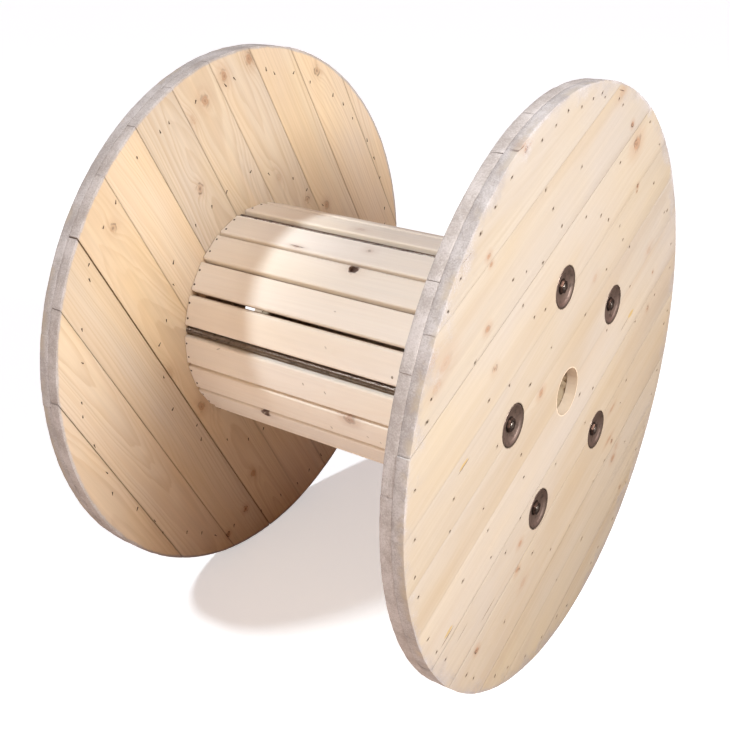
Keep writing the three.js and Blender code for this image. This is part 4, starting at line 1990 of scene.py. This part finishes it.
@dataclass
class Studio:
    """A plain pale floor, soft light and the camera."""

    azimuth: float = 34.17  # degrees round from -Y towards +X
    elevation: float = 21.47
    camera_at: tuple[float, float, float] = (0.9547, -1.4877, 1.2791)
    focal_pixels: float = 1074.6
    frame_pixels: float = 730.0
    centre_row: float = 300.0  # the row of the image that the lens points at
    sensor: float = 36.0
    floor_size: float = 40.0
    floor_colour: Colour = (0.80, 0.80, 0.80)
    floor_bounce: Colour = (0.84, 0.72, 0.66)  # what it throws onto the drum
    floor_mirror: Colour = (0.05, 0.036, 0.028)  # what steel shows of it
    floor_glow: float = 0.5
    floor_roughness: float = 0.9
    floor_gloss: float = 0.1
    backdrop: Colour = (1.0, 1.0, 1.0)  # what the camera sees behind the floor
    fill: Colour = (1.0, 0.34, 0.27)  # what the surroundings throw back into the shade
    fill_strength: float = 0.14
    lamps: tuple[Daylight | SoftBox, ...] = (
        Daylight("main_light", (-0.39, -0.42, 0.78), 6.0, 2.24, (0.83, 0.93, 1.0)),
        Daylight("front_fill", (-0.05, -0.95, 0.18), 40.0, 0.62, (1.0, 0.82, 0.56)),
        SoftBox("side_light", (2.66, -0.6, 2.14), (0.0, 0.0, 0.5), (1.2, 1.2), 131.0, (0.97, 1.0, 1.0)),
    )

    def camera(self) -> None:
        """Sets up the scene's camera."""
        data = bpy.data.cameras.new("camera")
        data.sensor_width = self.sensor
        data.lens = self.focal_pixels / self.frame_pixels * self.sensor
        data.shift_y = (self.centre_row - self.frame_pixels / 2) / self.frame_pixels
        camera = bpy.data.objects.new("camera", data)
        turn, rise = math.radians(self.azimuth), math.radians(self.elevation)
        back = Vector((math.sin(turn) * math.cos(rise), -math.cos(turn) * math.cos(rise), math.sin(rise)))
        camera.location = self.camera_at
        camera.rotation_euler = (-back).to_track_quat("-Z", "Y").to_euler()
        bpy.context.scene.collection.objects.link(camera)
        bpy.context.scene.camera = camera

    def floor(self) -> None:
        """Lays the floor."""
        Bench.clear()
        bpy.ops.mesh.primitive_plane_add(size=self.floor_size, location=(0.0, 0.0, 0.0))
        floor = bpy.context.active_object
        floor.name = "studio_floor"
        patch, surface = new_material("studio_floor", floor)
        path = patch.add("ShaderNodeLightPath").outputs
        colour = patch.mix(path["Is Glossy Ray"], self.floor_bounce, self.floor_mirror)
        finish = {
            "Base Color": patch.mix(path["Is Camera Ray"], colour, self.floor_colour),
            "Roughness": self.floor_roughness, "Specular IOR Level": self.floor_gloss,
            "Emission Color": (1.0, 1.0, 1.0),
            "Emission Strength": patch.times(path["Is Camera Ray"], self.floor_glow),
        }
        patch.fill(surface, finish)

    def build(self) -> None:
        """Builds the studio."""
        scene = bpy.context.scene
        scene.view_settings.view_transform = "Standard"
        world = bpy.data.worlds.new("studio")
        world.use_nodes = True
        sky = world.node_tree.nodes["Background"]
        patch = Patch(world.node_tree)
        seen = patch.add("ShaderNodeLightPath").outputs["Is Camera Ray"]
        colour = patch.mix(seen, self.fill, self.backdrop)
        strength = patch.ease(seen, 0.0, 1.0, start=self.fill_strength, end=1.0)
        patch.fill(sky.inputs, {"Color": colour, "Strength": strength})
        scene.world = world
        self.camera()
        self.floor()
        for lamp in self.lamps:
            lamp.hang()
        LOG.info("studio ready")


# ------------------------------------------------------------------ this drum


def marks_of(kind: Blemish, *places: tuple[float, ...]) -> tuple[Mark, ...]:
    """Marks of one kind from numbers in millimetres and degrees.

    Args:
        kind: What they are.
        places: Each mark's y, z and size, and a long mark's half length, direction and strength.

    Returns:
        The marks.
    """
    return tuple(
        Mark(kind, (y * MM, z * MM), size * MM, *(rest and (rest[0] * MM, math.radians(rest[1]), *rest[2:])))
        for y, z, size, *rest in places
    )


OUTER_FACE_MARKS = (
    *marks_of(
        Blemish.DEAD_KNOT, (188, 406, 4.5), (-205, 443, 4), (-280, -328, 5), (240, 290, 3.6), (238, 282, 2.2),
        (230, -197, 3.2), (365, 97, 2.6),
    ),
    *marks_of(Blemish.RING_KNOT, (-265, 143, 5.5), (212, 369, 6), (300, -330, 4), (355, 27, 5)),
    *marks_of(
        Blemish.LIVE_KNOT, (-103, 40, 6), (-146, -210, 5), (-150, -258, 5), (245, -240, 6), (-292, 213, 5),
        (-298, 318, 4), (-290, 305, 3), (218, 368, 12),
    ),
    *marks_of(
        Blemish.FAINT_KNOT, (-125, -297, 7), (330, 150, 7), (80, 172, 6), (132, 468, 9), (258, -220, 6),
        (-440, 222, 9), (-405, 205, 11), (-425, 180, 8),
    ),
    *marks_of(Blemish.STREAK, (217, -123, 3), (215, -186, 4), (-212, 449, 2.4), (-195, 446, 2)),
    *marks_of(Blemish.RESIN, (-345, 30, 3.0, 15, 22), (268, 47, 5.5, 15, 18), (-372, -233, 3.6, 15, 20)),
    *marks_of(
        Blemish.CRACK, (-345, 27, 1.0, 20, 22), (240, 35, 0.8, 22, 24), (-375, -240, 1.0, 24, 22),
        (-248, -273, 0.8, 28, 22), (-357, 333, 0.9, 17, 19), (-220, 446, 0.8, 12, 14),
        (-330, -262, 0.6, 22, 24), (128, 470, 0.9, 13, -14),
    ),
)
INNER_FACE_MARKS = (
    *marks_of(Blemish.RING_KNOT, (202, 430, 8), (-145, 273, 8), (-352, 255, 7), (163, 180, 6)),
    *marks_of(
        Blemish.LIVE_KNOT, (-68, 458, 8), (-120, 423, 9), (0, 478, 9), (228, 153, 7), (-175, -140, 8),
        (-37, -350, 7),
    ),
    *marks_of(Blemish.FAINT_KNOT, (-152, 395, 7), (75, 245, 7), (-250, -40, 8)),
    *marks_of(Blemish.DEAD_KNOT, (-65, -420, 6), (-120, -450, 5)),
)
SLAT_MARKS = {
    4: marks_of(Blemish.FAINT_KNOT, (-60, 5, 6)),
    5: (
        *marks_of(Blemish.STREAK, (-135, 20, 3.2)), *marks_of(Blemish.FAINT_KNOT, (0, -8, 5)),
        *marks_of(Blemish.BRUISE, (0, -8, 3, 4, 60, 0.35)),
        *marks_of(Blemish.CRACK, (-136, 19, 0.5, 20, 4), (-132, 20, 0.5, 18, -5)),
    ),
    # The crack here darkens the knot hole's inside: painted shade in the hole.
    6: (*marks_of(Blemish.FAINT_KNOT, (-2, -20, 8)), *marks_of(Blemish.CRACK, (-2, -20.5, 9.5, 11.5, 0))),
    7: marks_of(Blemish.BRUISE, (0, 0, 1.2, 3, 0, 0.4)),
    8: marks_of(Blemish.BRUISE, (133, 14, 2.4, 3, 60, 0.8), (0, -3, 1.6, 3.5, 50, 0.35)),
    9: marks_of(
        Blemish.BRUISE, (-40, -4, 2.0, 3, 60, 0.5), (5, 0, 1.6, 3.5, 50, 0.5), (-225, -22, 1.5, 6, -30, 0.4)
    ),
    10: (
        *marks_of(Blemish.LIVE_KNOT, (50, -21, 8)),
        *marks_of(
            Blemish.BRUISE, (5, 14, 2.0, 4, 60, 0.4), (80, 8, 1.6, 3, 40, 0.4), (105, 12, 1.4, 2.5, 60, 0.4)
        ),
    ),
    # The crack here darkens the knot hole's inside: painted shade in the hole.
    11: (
        *marks_of(Blemish.FAINT_KNOT, (-147, -21, 8)), *marks_of(Blemish.CRACK, (-147, -21.5, 9.5, 11.5, 0))
    ),
}

OUTER_NAILS = (
    NailRing(473 * MM, 46, 7 * MM), NailRing(380 * MM, 12, 18 * MM), NailRing(288 * MM, 24, 14 * MM),
    NailRing(140 * MM, 9, 30 * MM),
)
INNER_NAILS = (NailRing(452 * MM, 50, 8 * MM), NailRing(265 * MM, 28, 10 * MM))
SEEN_NAILS = tuple(
    (y * MM, z * MM)
    for y, z in (
        (-242, 412), (-286, 382), (-324, 356), (-372, 310), (-402, 275), (-223, 262), (-181, 262),
        (-112, 458), (-155, 445), (-73, 472), (-26, 470), (15, 475), (48, 478), (60, 470), (-104, 335),
        (-68, 300), (-216, 98), (-76, 106), (-145, 180), (-438, 168), (-447, 140), (-278, 100), (-245, 12),
        (85, 278), (118, 262), (172, 237), (193, 208), (228, 185), (128, 173), (55, -28), (90, -97),
        (-147, -88), (-25, -123), (-150, -160), (113, -40), (270, 395), (330, 345), (395, 205), (410, 205),
        (250, 105), (155, 54), (320, 277), (-370, -12), (-378, -60), (-280, -75), (-262, -122), (-247, -178),
        (-107, 180),
    )
)


def driven(
    rings: Sequence[NailRing], seed: int, given: Sequence[Place] = (), apart: float = 45 * MM
) -> list[Place]:
    """The places of all the nails of some rings.

    Args:
        rings: The rings.
        seed: What the places are drawn from.
        given: Nails whose places are known.
        apart: How far the drawn ones keep away from those.

    Returns:
        Each nail's (y, z).
    """
    rng = random.Random(seed)
    drawn = [place for ring in rings for place in ring.places(rng)]
    return [*given, *(place for place in drawn if all(math.dist(place, other) > apart for other in given))]


def flange_layers() -> list[PlankLayer]:
    """The four layers of the two flanges."""
    outer_span, inner_span = (LAYER_JOINT + JOINT_GAP, OUTER_FACE), (INNER_FACE, LAYER_JOINT)
    return [
        PlankLayer(
            "right_outer", "right_flange_outer_layer", Side.RIGHT, outer_span, OUTER_FACE, 22.5, 0.397,
            tuple(width * MM for width in (113, 107, 89, 86, 91, 84, 115, 68, 74, 110)), FACE_PINE, seed=11,
            open_seams={
                1: (0.4 * MM, 0.05 * MM), 2: (0.3 * MM, 0.05 * MM), 3: (0.05 * MM, 0.2 * MM),
                6: (0.5 * MM, 0.05 * MM),
            },
            marks=OUTER_FACE_MARKS, nails=driven(OUTER_NAILS, 1, SEEN_NAILS), tight_gap=0.08 * MM,
            edge_round=0.2 * MM, drop=0.15 * MM,
            # Per plank: its own tone, with painted light and shade, the lower planks darker and warmer.
            tones_and_shade={
                1: (0.95, 0.0), 2: (0.99, 0.0), 3: (1.0, 0.25), 4: (1.0, 0.45), 5: (1.01, 0.1),
                6: (1.055, 0.1), 7: (1.03, 0.3), 8: (1.01, 0.45), 9: (0.975, 0.7), 10: (0.94, 0.9),
                11: (0.92, 0.9),
            },
        ),
        PlankLayer(
            "right_inner", "right_flange_inner_layer", Side.RIGHT, inner_span, INNER_FACE, 112.5, 0.441,
            (0.098,), INNER_PINE, seed=12, tight_gap=0.15 * MM, edge_round=0.25 * MM,
        ),
        PlankLayer(
            "left_inner", "left_flange_inner_layer", Side.LEFT, inner_span, INNER_FACE, -60.0, 0.450,
            tuple(width * MM for width in (103, 97, 99, 95, 100, 97, 99, 94, 98)), INNER_PINE, seed=13,
            open_seams={
                1: (0.8 * MM, 0.8 * MM), 4: (0.4 * MM, 0.4 * MM), 5: (0.6 * MM, 0.6 * MM),
                6: (0.7 * MM, 0.7 * MM), 7: (0.6 * MM, 0.5 * MM), 8: (1.7 * MM, 1.4 * MM),
                9: (0.9 * MM, 0.9 * MM), 10: (1.1 * MM, 1.1 * MM),
            },
            marks=INNER_FACE_MARKS, tight_gap=0.2 * MM, edge_round=0.3 * MM,
            # Per plank: its own tone, with painted light and shade, lighter towards the top right and darker
            # towards the left.
            tones_and_shade={
                1: (1.09, 0.3), 2: (1.11, 0.2), 3: (1.03, 0.1), 4: (0.96, 0.0), 5: (0.955, 0.0),
                6: (0.90, 0.0), 7: (1.03, 0.1), 8: (1.0, 0.4), 9: (0.92, 0.0), 10: (0.97, 0.1),
                11: (0.98, 0.1),
            },
        ),
        PlankLayer(
            "left_outer", "left_flange_outer_layer", Side.LEFT, outer_span, OUTER_FACE, 30.0, 0.436, (0.098,),
            FACE_PINE, seed=14, nails=driven(OUTER_NAILS, 2), tight_gap=0.2 * MM, edge_round=0.35 * MM,
            drop=0.3 * MM,
        ),
    ]


def main() -> None:
    """Builds the studio and the drum, sub-assembly by sub-assembly."""
    logging.basicConfig(level=logging.INFO, format="%(name)s %(message)s", stream=sys.stdout)
    bpy.context.preferences.edit.use_global_undo = False
    Studio().build()
    for layer in flange_layers():
        layer.build()
    for side, seed, given in ((Side.RIGHT, 1, SEEN_NAILS), (Side.LEFT, 2, ())):
        NailHeads(f"{side.name.lower()}_nail_heads", side, driven(OUTER_NAILS, seed, given), seed).build()
        ClenchedNails(
            f"{side.name.lower()}_nail_points", side, driven(INNER_NAILS, seed + 4), seed + 4
        ).build()
        SupportRing(side).build()
        Fittings(side).build()
    TieRods().build()
    Barrel(
        knot_holes={6: (-0.002, -0.0205, 0.0095, 0.0075), 11: (-0.147, -0.0215, 0.0095, 0.0075)},
        marks=SLAT_MARKS,
    ).build()


if __name__ == "__main__":
    main()
